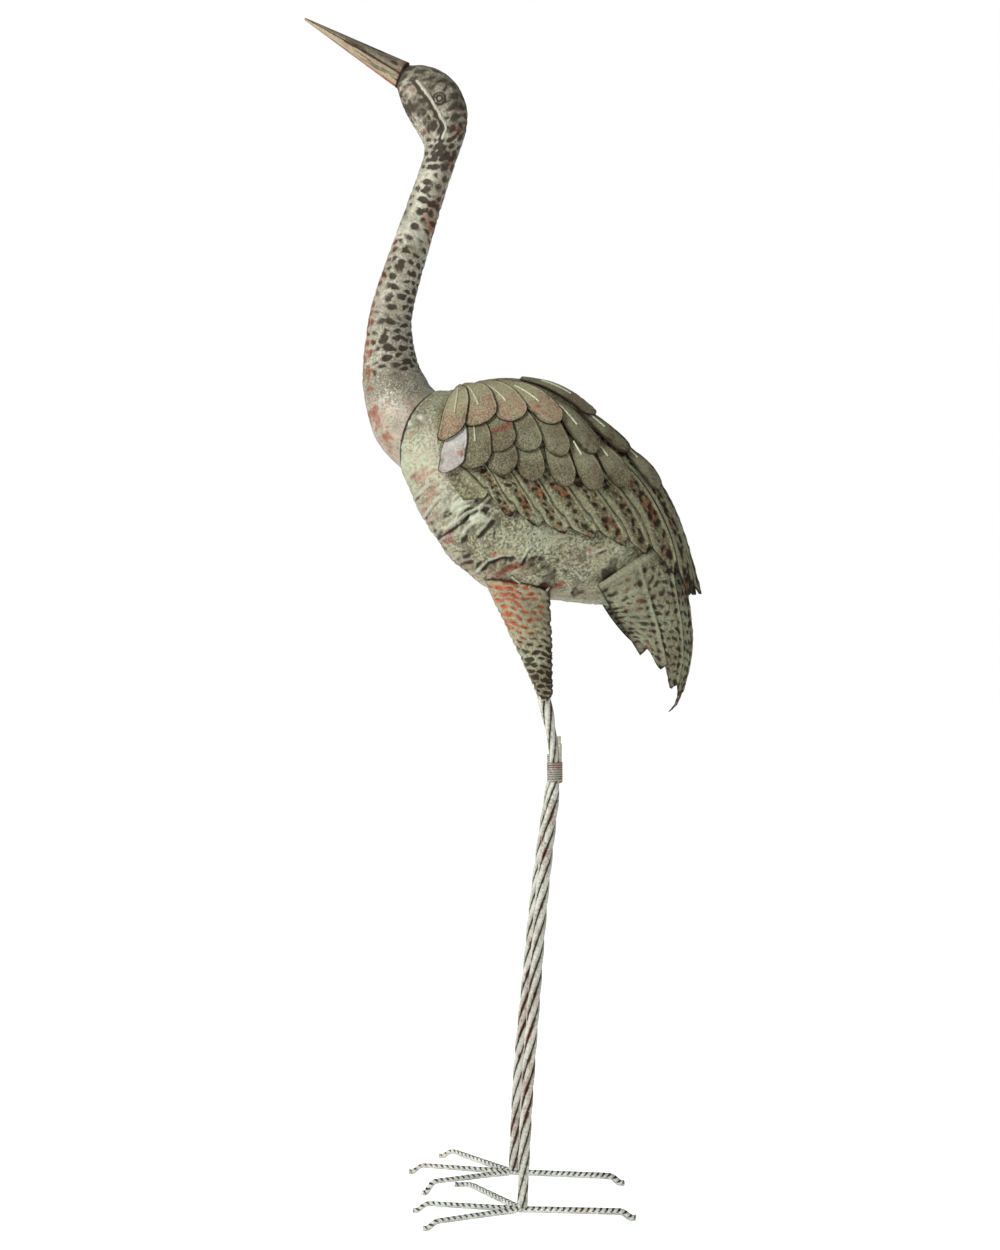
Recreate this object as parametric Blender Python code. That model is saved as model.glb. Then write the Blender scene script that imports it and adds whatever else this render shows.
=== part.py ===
"""Garden statue of a standing crane in sheet iron and twisted rod.

Metres. +Z is up, the beak points to -X, the bird's left side is -Y.
The statue stands on its toe tips at Z = 0.
"""
import math

import bmesh
import bpy
from mathutils import Vector
from mathutils.bvhtree import BVHTree

# Stock and fits
GAP = 0.0003             # clearance between pieces that touch
SHEET = 0.0010           # thickness of the wing and tail sheets
LEAF_SHEET = 0.0006      # thickness of a feather leaf
TOE_ROD = 0.0056         # across a toe rod
WIRE = 0.0021            # binding wire at the knee

# Stance
STANCE = 0.100           # between the legs, side to side
LEFT_FOOT_X = 0.0205     # middle of the left foot
RIGHT_FOOT_X = 0.0130    # middle of the right foot
KNEE_HEIGHT = 0.4092
LEFT_KNEE_X = 0.0500
RIGHT_KNEE_X = 0.0530
BREAST_HEIGHT = 0.7289   # middle of the joint between neck and body
BREAST_X = -0.0791
BODY_PITCH = math.radians(24)    # the body's axis falls towards the tail

# The body's flank form, measured along its axis from the breast joint:
# (along, value) for the back line, the keel line and the half width
BACK_LINE = ((-0.008, 0.038), (0.017, 0.050), (0.052, 0.074), (0.082, 0.0845), (0.112, 0.0860),
             (0.146, 0.0778), (0.175, 0.0693), (0.210, 0.0572), (0.238, 0.0402), (0.262, 0.0192),
             (0.301, -0.027), (0.320, -0.052))
KEEL_LINE = ((-0.008, -0.030), (0.009, -0.0473), (0.040, -0.075), (0.080, -0.099),
             (0.108, -0.107), (0.124, -0.1095), (0.145, -0.107), (0.180, -0.096),
             (0.234, -0.079), (0.320, -0.058))
HALF_WIDTH = ((-0.008, 0.040), (0.040, 0.057), (0.080, 0.068), (0.125, 0.074), (0.170, 0.071),
              (0.210, 0.063), (0.240, 0.054), (0.270, 0.043), (0.320, 0.016))
LOWER_FULLNESS = 3.0     # exponent of the lower half of the section
BODY_INSET = 0.0008      # the body's shell lies this far inside the flank form
BODY_END = 0.272         # where the shell is closed under the wings
BREAST_EDGE = 0.003      # the body's front edge at the median plane
BREAST_BULGE = 0.010     # and how far its sides come forward
NECK_REVEAL = 0.0013     # the body's front edge stands proud of the neck by this

# Head and neck in the median plane, (x, z) from the breast joint: throat and nape in
# pairs from the beak's root down, and each pair's half width as a share of its half depth
THROAT_LINE = ((-0.0188, 0.3256), (-0.0169, 0.3189), (-0.0140, 0.3104), (-0.0093, 0.2999),
               (-0.0045, 0.2914), (0.0012, 0.2819), (0.0064, 0.2719), (0.0069, 0.2657),
               (0.0045, 0.2535), (-0.0055, 0.2258), (-0.0273, 0.1660), (-0.0392, 0.1318),
               (-0.0468, 0.1004), (-0.0515, 0.0482), (-0.0435, 0.0045), (-0.0321, -0.0183))
NAPE_LINE = ((-0.0074, 0.3465), (0.0069, 0.3461), (0.0235, 0.3408), (0.0373, 0.3294),
             (0.0449, 0.3161), (0.0482, 0.3028), (0.0477, 0.2885), (0.0444, 0.2752),
             (0.0391, 0.2601), (0.0245, 0.2154), (0.0069, 0.1546), (-0.0018, 0.1213),
             (-0.0045, 0.0961), (0.0012, 0.0653), (0.0097, 0.0482), (0.0126, 0.0425))
NECK_SHARE = (0.90, 0.86, 0.78, 0.76, 0.76, 0.78, 0.82, 0.88, 0.93, 0.96, 0.98, 0.98,
              0.98, 0.99, 1.00, 1.00)
NECK_RINGS = 27
RING_SIDES = 20
JOIN_START = 0.80        # from this share of the neck down it takes the joint's outline
CHEEK_LINE = ((0.0023, 0.3239), (0.0154, 0.3067), (0.0224, 0.2940), (0.0275, 0.2847),
              (0.0285, 0.2805), (0.0251, 0.2712))
CHEEK_LIP = 0.0010
EYE_PLACE = (0.0223, 0.3085)
EYE_WIDTH = 0.0087
EYE_RELIEF = 0.45        # height of the eye's dome as a share of its radius
BEAK_ROOT = ((-0.0193, 0.3257), (-0.0068, 0.3488))
BEAK_TIP = (-0.1062, 0.3911)
BEAK_TIP_WIDTH = 0.0022
BEAK_GAPE = 0.86         # half width in the gape line at the root, as a share of the beak's

# Wings: polar places about the shoulder on the unrolled flank, degrees and metres
SHOULDER = (0.020, 0.010)
WING_START = 0.016
FLIGHT_TIPS = ((24.4, 0.164), (31.8, 0.1835), (39.6, 0.193), (46.9, 0.201), (55.2, 0.210),
               (63.7, 0.224), (70.3, 0.236), (78.4, 0.257), (83.8, 0.276), (87.9, 0.284))
WING_FRONT = ((0.016, -8.0), (0.041, -8.0), (0.072, 3.0), (0.106, 9.3), (0.142, 15.5))
WING_FRONT_TURN = 19.0   # the first straight column behind the curved front edge
WING_CLEAR = 0.0019      # space between the flank form and the wing
WING_ROWS = 7
TIP_ROUNDING = 0.009
FEATHER_CREST = 0.005    # half width of a flight feather's raised middle
TIP_LIFT = 0.0025
FLUTE = 0.0012
LEAF_SLOPE = (0.068, 0.052)      # how steeply a leaf rises: at the front, towards the back
LEAF_FLATTENS = (45.0, 75.0)     # between these angles the one passes into the other
LEAF_SHAPE = ((0.0, 0.42), (0.25, 0.72), (0.52, 0.97), (0.78, 1.0), (0.93, 0.80),
              (1.0, 0.36))      # width from root to tip as a share of the full width
LEAF_ROOM = (0.5, 1.6)   # widest at root and tip, in shares of the space between two tips
LEAF_CORNER = 0.003      # a leaf's tip is rounded back by this at its sides
FRONT_LEAF = 0.80        # the width of a row's foremost leaf as a share of the others'
LEAF_LIFT = 0.0015       # a leaf's root above the wing
LEAF_TILT = 0.0017       # a leaf's edge laps its neighbour's by this
LEAF_ROWS = (
    (0.075, 0.0250, ((13, 0.0886), (28, 0.0895), (43, 0.100), (58, 0.118), (82, 0.128))),
    (0.062, 0.0245, ((15, 0.127), (23.5, 0.1325), (33.5, 0.124), (43.5, 0.133), (54, 0.1446),
                     (67, 0.155), (80, 0.1715))),
    (0.044, 0.0250, ((32.5, 0.1457), (41.5, 0.157), (52, 0.1675), (61.3, 0.1795),
                     (70.6, 0.1905), (82, 0.210))),
)
RIDGE_CLEAR = 0.003      # wings and leaves stop this far from the ridge of the back

# Tail: near edge and rear contour, (x, z) from the breast joint, top to bottom
TAIL_EDGE = ((0.1682, -0.1480), (0.2091, -0.2129))
TAIL_BACK = ((0.2468, -0.0946), (0.2563, -0.1514), (0.2618, -0.1989), (0.2577, -0.2369))
TAIL_HALF_WIDTH = (0.050, 0.034)
TAIL_HEM = ((90, 0.0), (88.5, -0.003), (86.5, -0.0086), (81, -0.006), (74, -0.001),
            (68, 0.0025), (64.4, 0.0031), (62.8, 0.0), (61.5, -0.0043), (57, 0.002),
            (50, 0.010), (44, 0.0145), (41, 0.0147), (38, 0.011), (35, 0.008), (30, 0.013),
            (24, 0.018), (20, 0.018), (16, 0.012), (10, 0.022),
            (0, 0.034))      # turn from the back and drop of each column's end
TAIL_ROWS = 6
KEEL_END = (0.1836, -0.1684)     # the body's shell ends on a slant, from here
TAIL_UNDERLAP = 0.006    # to this far under the tail's upper edge at the back
TAIL_SINK = 0.0046       # the tail's root lies this far below the back line
TAIL_SHEET_IN = 0.0012   # and this far inside the flank form at the sides
TAIL_SEAT = 0.0030       # space between the tucked-in shell and the tail
TUCK_RUN = 0.010         # the shell tucks in over this length before the tail
KEEL_STAY = 0.15         # and nowhere nearer to the keel than this share of the turn

# Legs
THIGH_STATION = 0.1455   # middle of the thigh's seat along the body's axis
THIGH_SINK = 0.040       # the thigh's cone runs this far above the keel, where the body cuts it
THIGH_LAP = 0.0160       # the thigh's tongue laps the leg by this
LAP_CLEAR = 0.0010       # space between leg and tongue
# The tongue: share of its height, front and rear edge from the leg's middle, thickness
THIGH_TONGUE = ((0.0, 0.0002, 0.0057, 0.0020), (0.35, -0.0038, 0.0092, 0.0030),
                (1.0, -0.0083, 0.0097, 0.0040))
# The cone: share of its height, front and rear edge, inner and outer face from the leg's middle
THIGH_SHAPE = ((0.26, -0.0228, 0.0097, -0.0203, 0.0087),
               (0.48, -0.0355, 0.0085, -0.0319, 0.0071),
               (1.0, -0.0648, 0.0069, -0.0342, -0.0018))
LEG_RADIUS = 0.0064
KNEE_RADIUS = 0.0045     # the rods are drawn together inside the binding
WRAP_CLEAR = 0.0005      # between the rods and the binding
WRAP_TURNS = 9
LEG_AHEAD = 0.1174       # the leg's top lies this far behind the breast joint
LEG_SHARE = 0.490        # and at this share of the height between knee and belly
LEG_SEAT = 0.0025        # space between the rods' ends and the thigh
# Share of the height from the lower end, share of the lean from there to the upper end
UPPER_LEG_BOW = ((0, 0), (0.14, 0.02), (0.37, 0.18), (0.60, 0.44), (0.72, 0.62), (1, 1))
LOWER_LEG_BOW = ((1, 1), (0.972, 1), (0.927, 0.92), (0.706, 0.60), (0.475, 0.36),
                 (0.244, 0.14), (0, 0))
# Thickness along those points: 0 is as at the knee, 1 the full leg
UPPER_LEG_SWELL = (0.0, 0.0, 0.15, 0.58, 0.90, 1.0)
LOWER_LEG_SWELL = (0.0, 0.15, 1.0, 0.95, 0.84, 0.79, 0.15)
STRAND_PITCH = 0.110
TOE_HEIGHT = 0.0077      # middle of a toe rod above the ground
TOE_TIP_RUN = 0.0150     # the bent-down end, seen from above
TOE_KNUCKLE = 0.003      # half length of the bend
TOE_SINK = 0.85          # the end's middle above the ground, as a share of its radius
FRONT_TOE = 0.0857       # hub to bend
SIDE_TOE = 0.0865
REAR_TOE = 0.0890
UNDERPASS = 0.0040       # the left inner toe dips by this to pass under the right foot's
OVERPASS = 0.0030        # inner toe, which rises by this
# heading, hub to bend, rise at the bend, heading of the bent-down end
TOES_LEFT = {"toe_front": (9.4, FRONT_TOE + 0.002, 0.0, -9.0),
             "toe_outer": (-21.0, SIDE_TOE - 0.006, 0.0, -13.0),
             "toe_inner": (57.2, 0.0915, -UNDERPASS, 15.0),
             "toe_rear": (183.6, REAR_TOE, 0.0, 186.0)}
TOES_RIGHT = {"toe_front": (12.0, FRONT_TOE + 0.005, 0.0, -7.0),
              "toe_inner": (-25.0, SIDE_TOE - 0.004, OVERPASS, -32.0),
              "toe_outer": (45.5, SIDE_TOE, 0.0, 10.0),
              "toe_rear": (187.0, REAR_TOE + 0.005, 0.0, 200.0)}


def smooth(table, x):
    """Value of a smooth curve through (position, value) pairs."""
    last = len(table) - 2
    i = 0
    while i < last and x > table[i + 1][0]:
        i += 1

    def slope(k):
        low = max(k - 1, 0)
        high = min(k + 1, len(table) - 1)
        return (table[high][1] - table[low][1]) / (table[high][0] - table[low][0])

    (x0, y0), (x1, y1) = table[i], table[i + 1]
    h = x1 - x0
    u = (x - x0) / h
    return ((2 * u**3 - 3 * u**2 + 1) * y0 + (u**3 - 2 * u**2 + u) * h * slope(i)
            + (3 * u**2 - 2 * u**3) * y1 + (u**3 - u**2) * h * slope(i + 1))


def along(points, u):
    """Point at share u of a smooth curve through points, as a tuple."""
    steps = len(points) - 1
    return tuple(smooth([(k / steps, p[axis]) for k, p in enumerate(points)], u)
                 for axis in range(len(points[0])))


def mix(a, b, u):
    return a + (b - a) * u


def step(u):
    u = min(max(u, 0.0), 1.0)
    return u * u * (3 - 2 * u)


# Materials: one for each finish of the patinated iron
def finish(name, colour, roughness):
    material = bpy.data.materials.new(name)
    material.use_nodes = True
    shader = material.node_tree.nodes["Principled BSDF"]
    shader.inputs["Base Color"].default_value = (*colour, 1.0)
    shader.inputs["Roughness"].default_value = roughness
    shader.inputs["Metallic"].default_value = 0.35
    return material


def new_object(name, mesh, material):
    part = bpy.data.objects.new(name, mesh)
    bpy.context.scene.collection.objects.link(part)
    mesh.materials.append(material)
    return part


def build(name, points, faces, material, sharp=40):
    """Object of one closed mesh, its faces turned outwards."""
    mesh = bpy.data.meshes.new(name)
    mesh.from_pydata([tuple(p) for p in points], [], faces)
    shape = bmesh.new()
    shape.from_mesh(mesh)
    bmesh.ops.recalc_face_normals(shape, faces=shape.faces)
    shape.to_mesh(mesh)
    shape.free()
    mesh.shade_smooth()
    mesh.set_sharp_from_angle(angle=math.radians(sharp))
    return new_object(name, mesh, material)


def loft(rings, start=None, end=None):
    """Closed skin through rings of equal count; start and end are cap centres."""
    sides = len(rings[0])
    points = [p for ring in rings for p in ring]
    faces = []
    for r in range(len(rings) - 1):
        for k in range(sides):
            n = (k + 1) % sides
            faces.append((r * sides + k, r * sides + n, (r + 1) * sides + n, (r + 1) * sides + k))
    for centre, first in ((start, 0), (end, (len(rings) - 1) * sides)):
        if centre is None:
            faces.append(tuple(range(first, first + sides)))
        else:
            points.append(centre)
            hub = len(points) - 1
            faces.extend((first + k, first + (k + 1) % sides, hub) for k in range(sides))
    return points, faces


def plate(outer, inner):
    """Closed sheet between two grids of points of the same shape."""
    rows, columns = len(outer), len(outer[0])
    points = [p for grid in (outer, inner) for row in grid for p in row]
    half = rows * columns
    faces = []
    for r in range(rows - 1):
        for c in range(columns - 1):
            a = r * columns + c
            for corner in ((a, a + 1, a + columns + 1), (a, a + columns + 1, a + columns)):
                faces.append(corner)
                faces.append(tuple(half + k for k in reversed(corner)))
    rim = [r * columns for r in range(rows)]
    rim += [(rows - 1) * columns + c for c in range(1, columns)]
    rim += [r * columns + columns - 1 for r in range(rows - 2, -1, -1)]
    rim += [c for c in range(columns - 2, 0, -1)]
    for k, a in enumerate(rim):
        b = rim[(k + 1) % len(rim)]
        faces.append((a, b, half + b, half + a))
    return points, faces


# Flank form: the egg that the body, wings and leaves follow
AXIS = Vector((math.cos(BODY_PITCH), 0, -math.sin(BODY_PITCH)))
UP = Vector((math.sin(BODY_PITCH), 0, math.cos(BODY_PITCH)))
BREAST = Vector((BREAST_X, 0, BREAST_HEIGHT))
UPRIGHT = Vector((0, 0, 1))


def from_breast(point):
    """Point of the median plane from its place in side view."""
    return BREAST + Vector((point[0], 0, point[1]))


def body_frame(point):
    """Place of a point along and across the body's axis."""
    offset = point - BREAST
    return offset.dot(AXIS), offset.dot(UP)


def section(s, turn, inset=0.0):
    """Point of the flank form: s along the axis, turn from the ridge of the back."""
    top = smooth(BACK_LINE, s) - inset
    keel = smooth(KEEL_LINE, s) + inset
    width = smooth(HALF_WIDTH, s) - inset
    middle, depth = (top + keel) / 2, (top - keel) / 2
    c, w = math.cos(turn), math.sin(turn)
    power = 2.0 / (2.0 if c > 0 else LOWER_FULLNESS)
    across = middle + depth * math.copysign(abs(c) ** power, c)
    side = width * math.copysign(abs(w) ** power, w)
    return BREAST + AXIS * s + UP * across + Vector((0, -side, 0))


def half_width_at(s, across, sink):
    """Half width at a point in side view, for a back line lowered by sink."""
    top, keel = smooth(BACK_LINE, s) - sink, smooth(KEEL_LINE, s)
    share = (across - (top + keel) / 2) / ((top - keel) / 2)
    if abs(share) >= 1:
        return 0.0
    power = 2.0 if share > 0 else LOWER_FULLNESS
    return smooth(HALF_WIDTH, s) * (1 - abs(share) ** power) ** (1 / power)


def flank(s, g, offset):
    """Point on the left flank: g is the distance down the section from the ridge."""
    steps = 48
    walked = 0.0
    previous = section(s, 0.0)
    turn = math.pi
    for k in range(1, steps + 1):
        point = section(s, math.pi * k / steps)
        length = (point - previous).length
        if walked + length >= g:
            turn = math.pi * (k - 1 + (g - walked) / length) / steps
            break
        walked += length
        previous = point
    here = section(s, turn)
    down = section(s, turn + 0.02) - section(s, turn - 0.02)
    rearward = section(s + 0.002, turn) - section(s - 0.002, turn)
    outward = down.cross(rearward).normalized()
    if outward.y > 0:
        outward = -outward
    return here + outward * offset


def fan(angle, radius, offset):
    """Point of the left wing in polar measure about the shoulder."""
    s = SHOULDER[0] + radius * math.sin(math.radians(angle))
    g = SHOULDER[1] + radius * math.cos(math.radians(angle))
    return flank(s, max(g, RIDGE_CLEAR), offset)


def mirrored(points):
    return [Vector((p.x, -p.y, p.z)) for p in points]


# Body
def breast_joint(side_share):
    """Distance along the axis of the joint face at a share of the half width."""
    return BREAST_EDGE - BREAST_BULGE * side_share**2


def joint_ring(inset, shift):
    ring = []
    for k in range(RING_SIDES):
        turn = 2 * math.pi * k / RING_SIDES
        ring.append(section(breast_joint(math.sin(turn)) + shift, turn, inset))
    return ring


def joint_middle(shift):
    top, keel = smooth(BACK_LINE, BREAST_EDGE), smooth(KEEL_LINE, BREAST_EDGE)
    return BREAST + AXIS * (breast_joint(0) + shift) + UP * (top + keel) / 2


def tail_slant():
    """Point on the tail's upper edge and the level normal of that edge, rearwards."""
    edge = from_breast(TAIL_EDGE[0])
    slant = (from_breast(TAIL_BACK[0]) - edge).normalized()
    rearward = Vector((0, 1, 0)).cross(slant).normalized()
    if rearward.x < 0:
        rearward = -rearward
    return edge, rearward


def body_form(name, inset, material):
    """Closed egg of the body, inside the flank form and tucked in under the tail."""
    edge, rearward = tail_slant()
    rings = [joint_ring(inset, GAP / 2)]
    stations = 20
    for i in range(1, stations + 1):
        s = BREAST_EDGE + (BODY_END - BREAST_EDGE) * i / stations
        carry = max(0.0, 1 - i / 4)
        ring = []
        for k in range(RING_SIDES):
            turn = 2 * math.pi * k / RING_SIDES
            place = s + (breast_joint(math.sin(turn)) - BREAST_EDGE) * carry
            under = (section(place, turn) - edge).dot(rearward)
            tuck = TAIL_SHEET_IN + TAIL_SEAT + TAIL_SINK * max(0.0, math.cos(turn))
            tuck *= step(1.2 + under / TUCK_RUN)
            tuck *= step((math.cos(turn) + 1 - KEEL_STAY / 5) / KEEL_STAY)
            ring.append(section(place, turn, inset + tuck))
        rings.append(ring)
    return build(name, *loft(rings, joint_middle(GAP / 2)), material)


def make_body():
    body = body_form("body", BODY_INSET, finish("body", (0.30, 0.33, 0.26), 0.5))
    # The shell stops on a slant under the tail
    edge, rearward = tail_slant()
    keel = from_breast(KEEL_END)
    ridge = from_breast(TAIL_BACK[0]) + rearward * TAIL_UNDERLAP
    outward = Vector((0, 1, 0)).cross(ridge - keel).normalized()
    if outward.x < 0:
        outward = -outward
    shape = bmesh.new()
    shape.from_mesh(body.data)
    everything = shape.verts[:] + shape.edges[:] + shape.faces[:]
    cut = bmesh.ops.bisect_plane(shape, geom=everything, plane_co=keel,
                                 plane_no=outward, clear_outer=True)
    rim = [e for e in cut["geom_cut"] if isinstance(e, bmesh.types.BMEdge)]
    bmesh.ops.contextual_create(shape, geom=rim)
    bmesh.ops.recalc_face_normals(shape, faces=shape.faces)
    shape.to_mesh(body.data)
    shape.free()
    return body


# Head, neck and beak
def neck_ring(u, joint):
    """Ring at share u of the neck, from the beak's root to the joint at the breast."""
    nape_end, throat_end = joint[0], joint[RING_SIDES // 2]
    throat = Vector(along([from_breast(p) for p in THROAT_LINE] + [throat_end], u))
    nape = Vector(along([from_breast(p) for p in NAPE_LINE] + [nape_end], u))
    share = along([(s,) for s in NECK_SHARE + (1.0,)], u)[0]
    half = (nape - throat) / 2
    ring = []
    for k in range(RING_SIDES):
        turn = 2 * math.pi * k / RING_SIDES
        side = Vector((0, -half.length * share * math.sin(turn), 0))
        ring.append((throat + nape) / 2 + half * math.cos(turn) + side)
    return ring


def bar(points, radius, sides):
    """Closed round bar through a few points."""
    rings = []
    for k, point in enumerate(points):
        before = points[max(k - 1, 0)]
        after = points[min(k + 1, len(points) - 1)]
        turn = (after - before).to_track_quat("Z", "Y").to_matrix()
        rings.append([point + turn @ Vector((radius * math.cos(a), radius * math.sin(a), 0))
                      for a in (2 * math.pi * n / sides for n in range(sides))])
    return loft(rings)


def join_into(target, shapes):
    """Weld raised details into a piece, so that they are one body."""
    for shape in shapes:
        weld = target.modifiers.new(shape.name, "BOOLEAN")
        weld.operation = "UNION"
        weld.solver = "MANIFOLD"
        weld.object = shape
        shape.hide_render = True
        shape.display_type = "WIRE"


def make_head_and_neck():
    material = finish("head_and_neck", (0.29, 0.31, 0.25), 0.5)
    joint = joint_ring(BODY_INSET + NECK_REVEAL, -GAP / 2)
    last = neck_ring(1.0, joint)
    rings = []
    for k in range(NECK_RINGS + 1):
        u = k / NECK_RINGS
        carry = step((u - JOIN_START) / (1 - JOIN_START))
        ring = [p + (j - e) * carry for p, j, e in zip(neck_ring(u, joint), joint, last)]
        rings.append(ring)
    neck = build("head_and_neck", *loft(rings, None, joint_middle(-GAP / 2)), material)
    surface = BVHTree.FromPolygons([v.co for v in neck.data.vertices],
                                   [p.vertices for p in neck.data.polygons])
    details = []
    for name, side in (("left", -1), ("right", 1)):
        def on_face(point):
            start = from_breast(point) + Vector((0, side, 0))
            hit = surface.ray_cast(start, Vector((0, -side, 0)))[0]
            return hit + Vector((0, side * CHEEK_LIP * 0.3, 0))

        lip = [on_face(along(CHEEK_LINE, k / 8)) for k in range(9)]
        details.append(build(name + "_cheek_lip", *bar(lip, CHEEK_LIP, 6), material))
        centre = on_face(EYE_PLACE)
        dome = bmesh.new()
        bmesh.ops.create_icosphere(dome, subdivisions=1, radius=EYE_WIDTH / 2)
        bmesh.ops.scale(dome, vec=(1, EYE_RELIEF, 1), verts=dome.verts)
        bmesh.ops.translate(dome, vec=centre, verts=dome.verts)
        mesh = bpy.data.meshes.new(name + "_eye")
        dome.to_mesh(mesh)
        dome.free()
        details.append(new_object(name + "_eye", mesh, material))
    join_into(neck, details)
    return neck


def make_beak():
    sides = 12
    low, high = (from_breast(p) for p in BEAK_ROOT)
    share = NECK_SHARE[0]
    start, half = (low + high) / 2, (high - low) / 2
    tip = from_breast(BEAK_TIP)
    rings = []
    for k in range(6):
        u = k / 5
        size = mix(1.0, BEAK_TIP_WIDTH / 2 / half.length, u)
        groove = mix(BEAK_GAPE, 1.0, u)
        ring = []
        for n in range(sides):
            turn = 2 * math.pi * n / sides
            depth = half.length * share * math.sin(turn)
            if n % (sides // 2) == sides // 4:
                depth *= groove
            ring.append(start + (tip - start) * u + half * size * math.cos(turn)
                        + Vector((0, -depth * size, 0)))
        rings.append(ring)
    return build("beak", *loft(rings), finish("beak", (0.38, 0.36, 0.22), 0.45))


# Wings and leaves
def flight_outline(angle):
    """Outline radius of the wing at an angle about the shoulder."""
    reach = 0.0
    for tip_angle, tip_radius in FLIGHT_TIPS:
        across = math.radians(angle - tip_angle) * tip_radius
        reach = max(reach, tip_radius - across**2 / (2 * TIP_ROUNDING))
    return reach


def wing_rise(angle, radius):
    """How far the wing's outer face stands above its lowest layer."""
    share = min(radius / flight_outline(angle), 1.0)
    return TIP_LIFT * share**6


def make_wing():
    angles = [WING_FRONT_TURN]
    for k, (tip_angle, tip_radius) in enumerate(FLIGHT_TIPS):
        near = math.degrees(FEATHER_CREST / tip_radius)
        angles += [tip_angle - near, tip_angle + near]
        if k + 1 < len(FLIGHT_TIPS):
            angles.append((tip_angle + FLIGHT_TIPS[k + 1][0]) / 2)
    columns = []
    front_end = WING_FRONT[-1][0]
    rows = WING_ROWS
    for column, angle in enumerate([None] + angles):
        line = []
        for r in range(rows):
            if angle is None:
                radius = mix(WING_START, front_end, r / (rows - 1))
                place = smooth(WING_FRONT, radius)
                rise = 0.0
            else:
                reach = flight_outline(angle)
                radius = mix(WING_START, reach, r / (rows - 1))
                place = angle
                rise = wing_rise(angle, radius)
                if column % 3 != 1:
                    rise += FLUTE * (radius / reach) ** 3
            line.append((place, radius, WING_CLEAR + SHEET + rise))
        columns.append(line)
    outer = [[fan(*node) for node in line] for line in columns]
    inner = [[fan(a, r, h - SHEET) for a, r, h in line] for line in columns]
    return plate(outer, inner)


def make_leaf(angle, tip_radius, length, width, room):
    """One tongue-shaped leaf, from its narrow root to its round tip."""
    low, high = LEAF_FLATTENS
    slope = mix(LEAF_SLOPE[0], LEAF_SLOPE[1], step((angle - low) / (high - low)))
    outer, inner = [], []
    for a, share in LEAF_SHAPE:
        radius = tip_radius - length * (1 - a)
        lift = leaf_layer(angle, radius) + slope * length * a
        widest = math.radians(mix(LEAF_ROOM[0], LEAF_ROOM[1], a) * room) * radius
        half = min(share * width / 2, widest)
        row_out, row_in = [], []
        for side in (-1, 0, 1):
            spread = math.degrees(side * half / radius)
            forward = radius - (LEAF_CORNER * a if side else 0.0)
            lap = -LEAF_TILT * spread / room
            row_out.append(fan(angle + spread, forward, lift - lap + LEAF_SHEET))
            row_in.append(fan(angle + spread, forward, lift - lap))
        outer.append(row_out)
        inner.append(row_in)
    return plate(outer, inner)


def leaf_layer(angle, radius):
    """Height of the leaves' roots above the flank form."""
    share = min(radius / flight_outline(max(angle, FLIGHT_TIPS[0][0])), 1.0)
    return WING_CLEAR + SHEET + wing_rise(angle, radius) + FLUTE * share**3 + LEAF_LIFT


def make_wings():
    wing = finish("wing", (0.27, 0.28, 0.21), 0.5)
    leaf = finish("leaf", (0.31, 0.30, 0.23), 0.55)
    points, faces = make_wing()
    build("left_wing", points, faces, wing)
    build("right_wing", mirrored(points), faces, wing)
    for row, (length, width, tips) in enumerate(LEAF_ROWS, 1):
        room = (tips[-1][0] - tips[0][0]) / (len(tips) - 1)
        for n, (angle, radius) in enumerate(tips, 1):
            own = width * (FRONT_LEAF if n == 1 and row < len(LEAF_ROWS) else 1.0)
            points, faces = make_leaf(angle, radius, length, own, room)
            build(f"left_leaf_{row}_{n}", points, faces, leaf)
            build(f"right_leaf_{row}_{n}", mirrored(points), faces, leaf)


# Tail
def tail_point(turn, v, drop, offset):
    """Point of the tail: turn 0 at the back, 90 at the left edge; v from top to hem."""
    edge = from_breast(TAIL_EDGE[0]).lerp(from_breast(TAIL_EDGE[1]), v)
    back = from_breast(along(TAIL_BACK, v))
    share = 1 - math.cos(math.radians(turn))
    place = back + (edge - back) * share
    s, across = body_frame(place)
    half = half_width_at(min(s, BACK_LINE[-1][0]), across, TAIL_SINK)
    hug = max(half - TAIL_SHEET_IN, 0.0003 * turn)
    free = mix(TAIL_HALF_WIDTH[0], TAIL_HALF_WIDTH[1], v) * math.sin(math.radians(turn)) ** 0.8
    side = mix(hug, free, step(v / 0.45))
    down = (edge - back).cross(Vector((0, 1, 0))).normalized()
    if down.z > 0:
        down = -down
    outward = Vector((1, 0, 0)) * math.cos(math.radians(turn))
    outward += Vector((0, -1, 0)) * math.sin(math.radians(turn))
    outward.normalize()
    return place + Vector((0, -side, 0)) + down * drop + outward * offset


def make_tail():
    columns = TAIL_HEM + tuple((-turn, drop) for turn, drop in reversed(TAIL_HEM[:-1]))
    rows = TAIL_ROWS
    outer, inner = [], []
    for turn, drop in columns:
        line_out, line_in = [], []
        for r in range(rows):
            v = r / (rows - 1)
            point_out = tail_point(abs(turn), v, drop * v**3, SHEET)
            point_in = tail_point(abs(turn), v, drop * v**3, 0.0)
            if turn < 0:
                point_out.y, point_in.y = -point_out.y, -point_in.y
            line_out.append(point_out)
            line_in.append(point_in)
        outer.append(line_out)
        inner.append(line_in)
    return build("tail", *plate(outer, inner), finish("tail", (0.28, 0.29, 0.23), 0.5))


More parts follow.
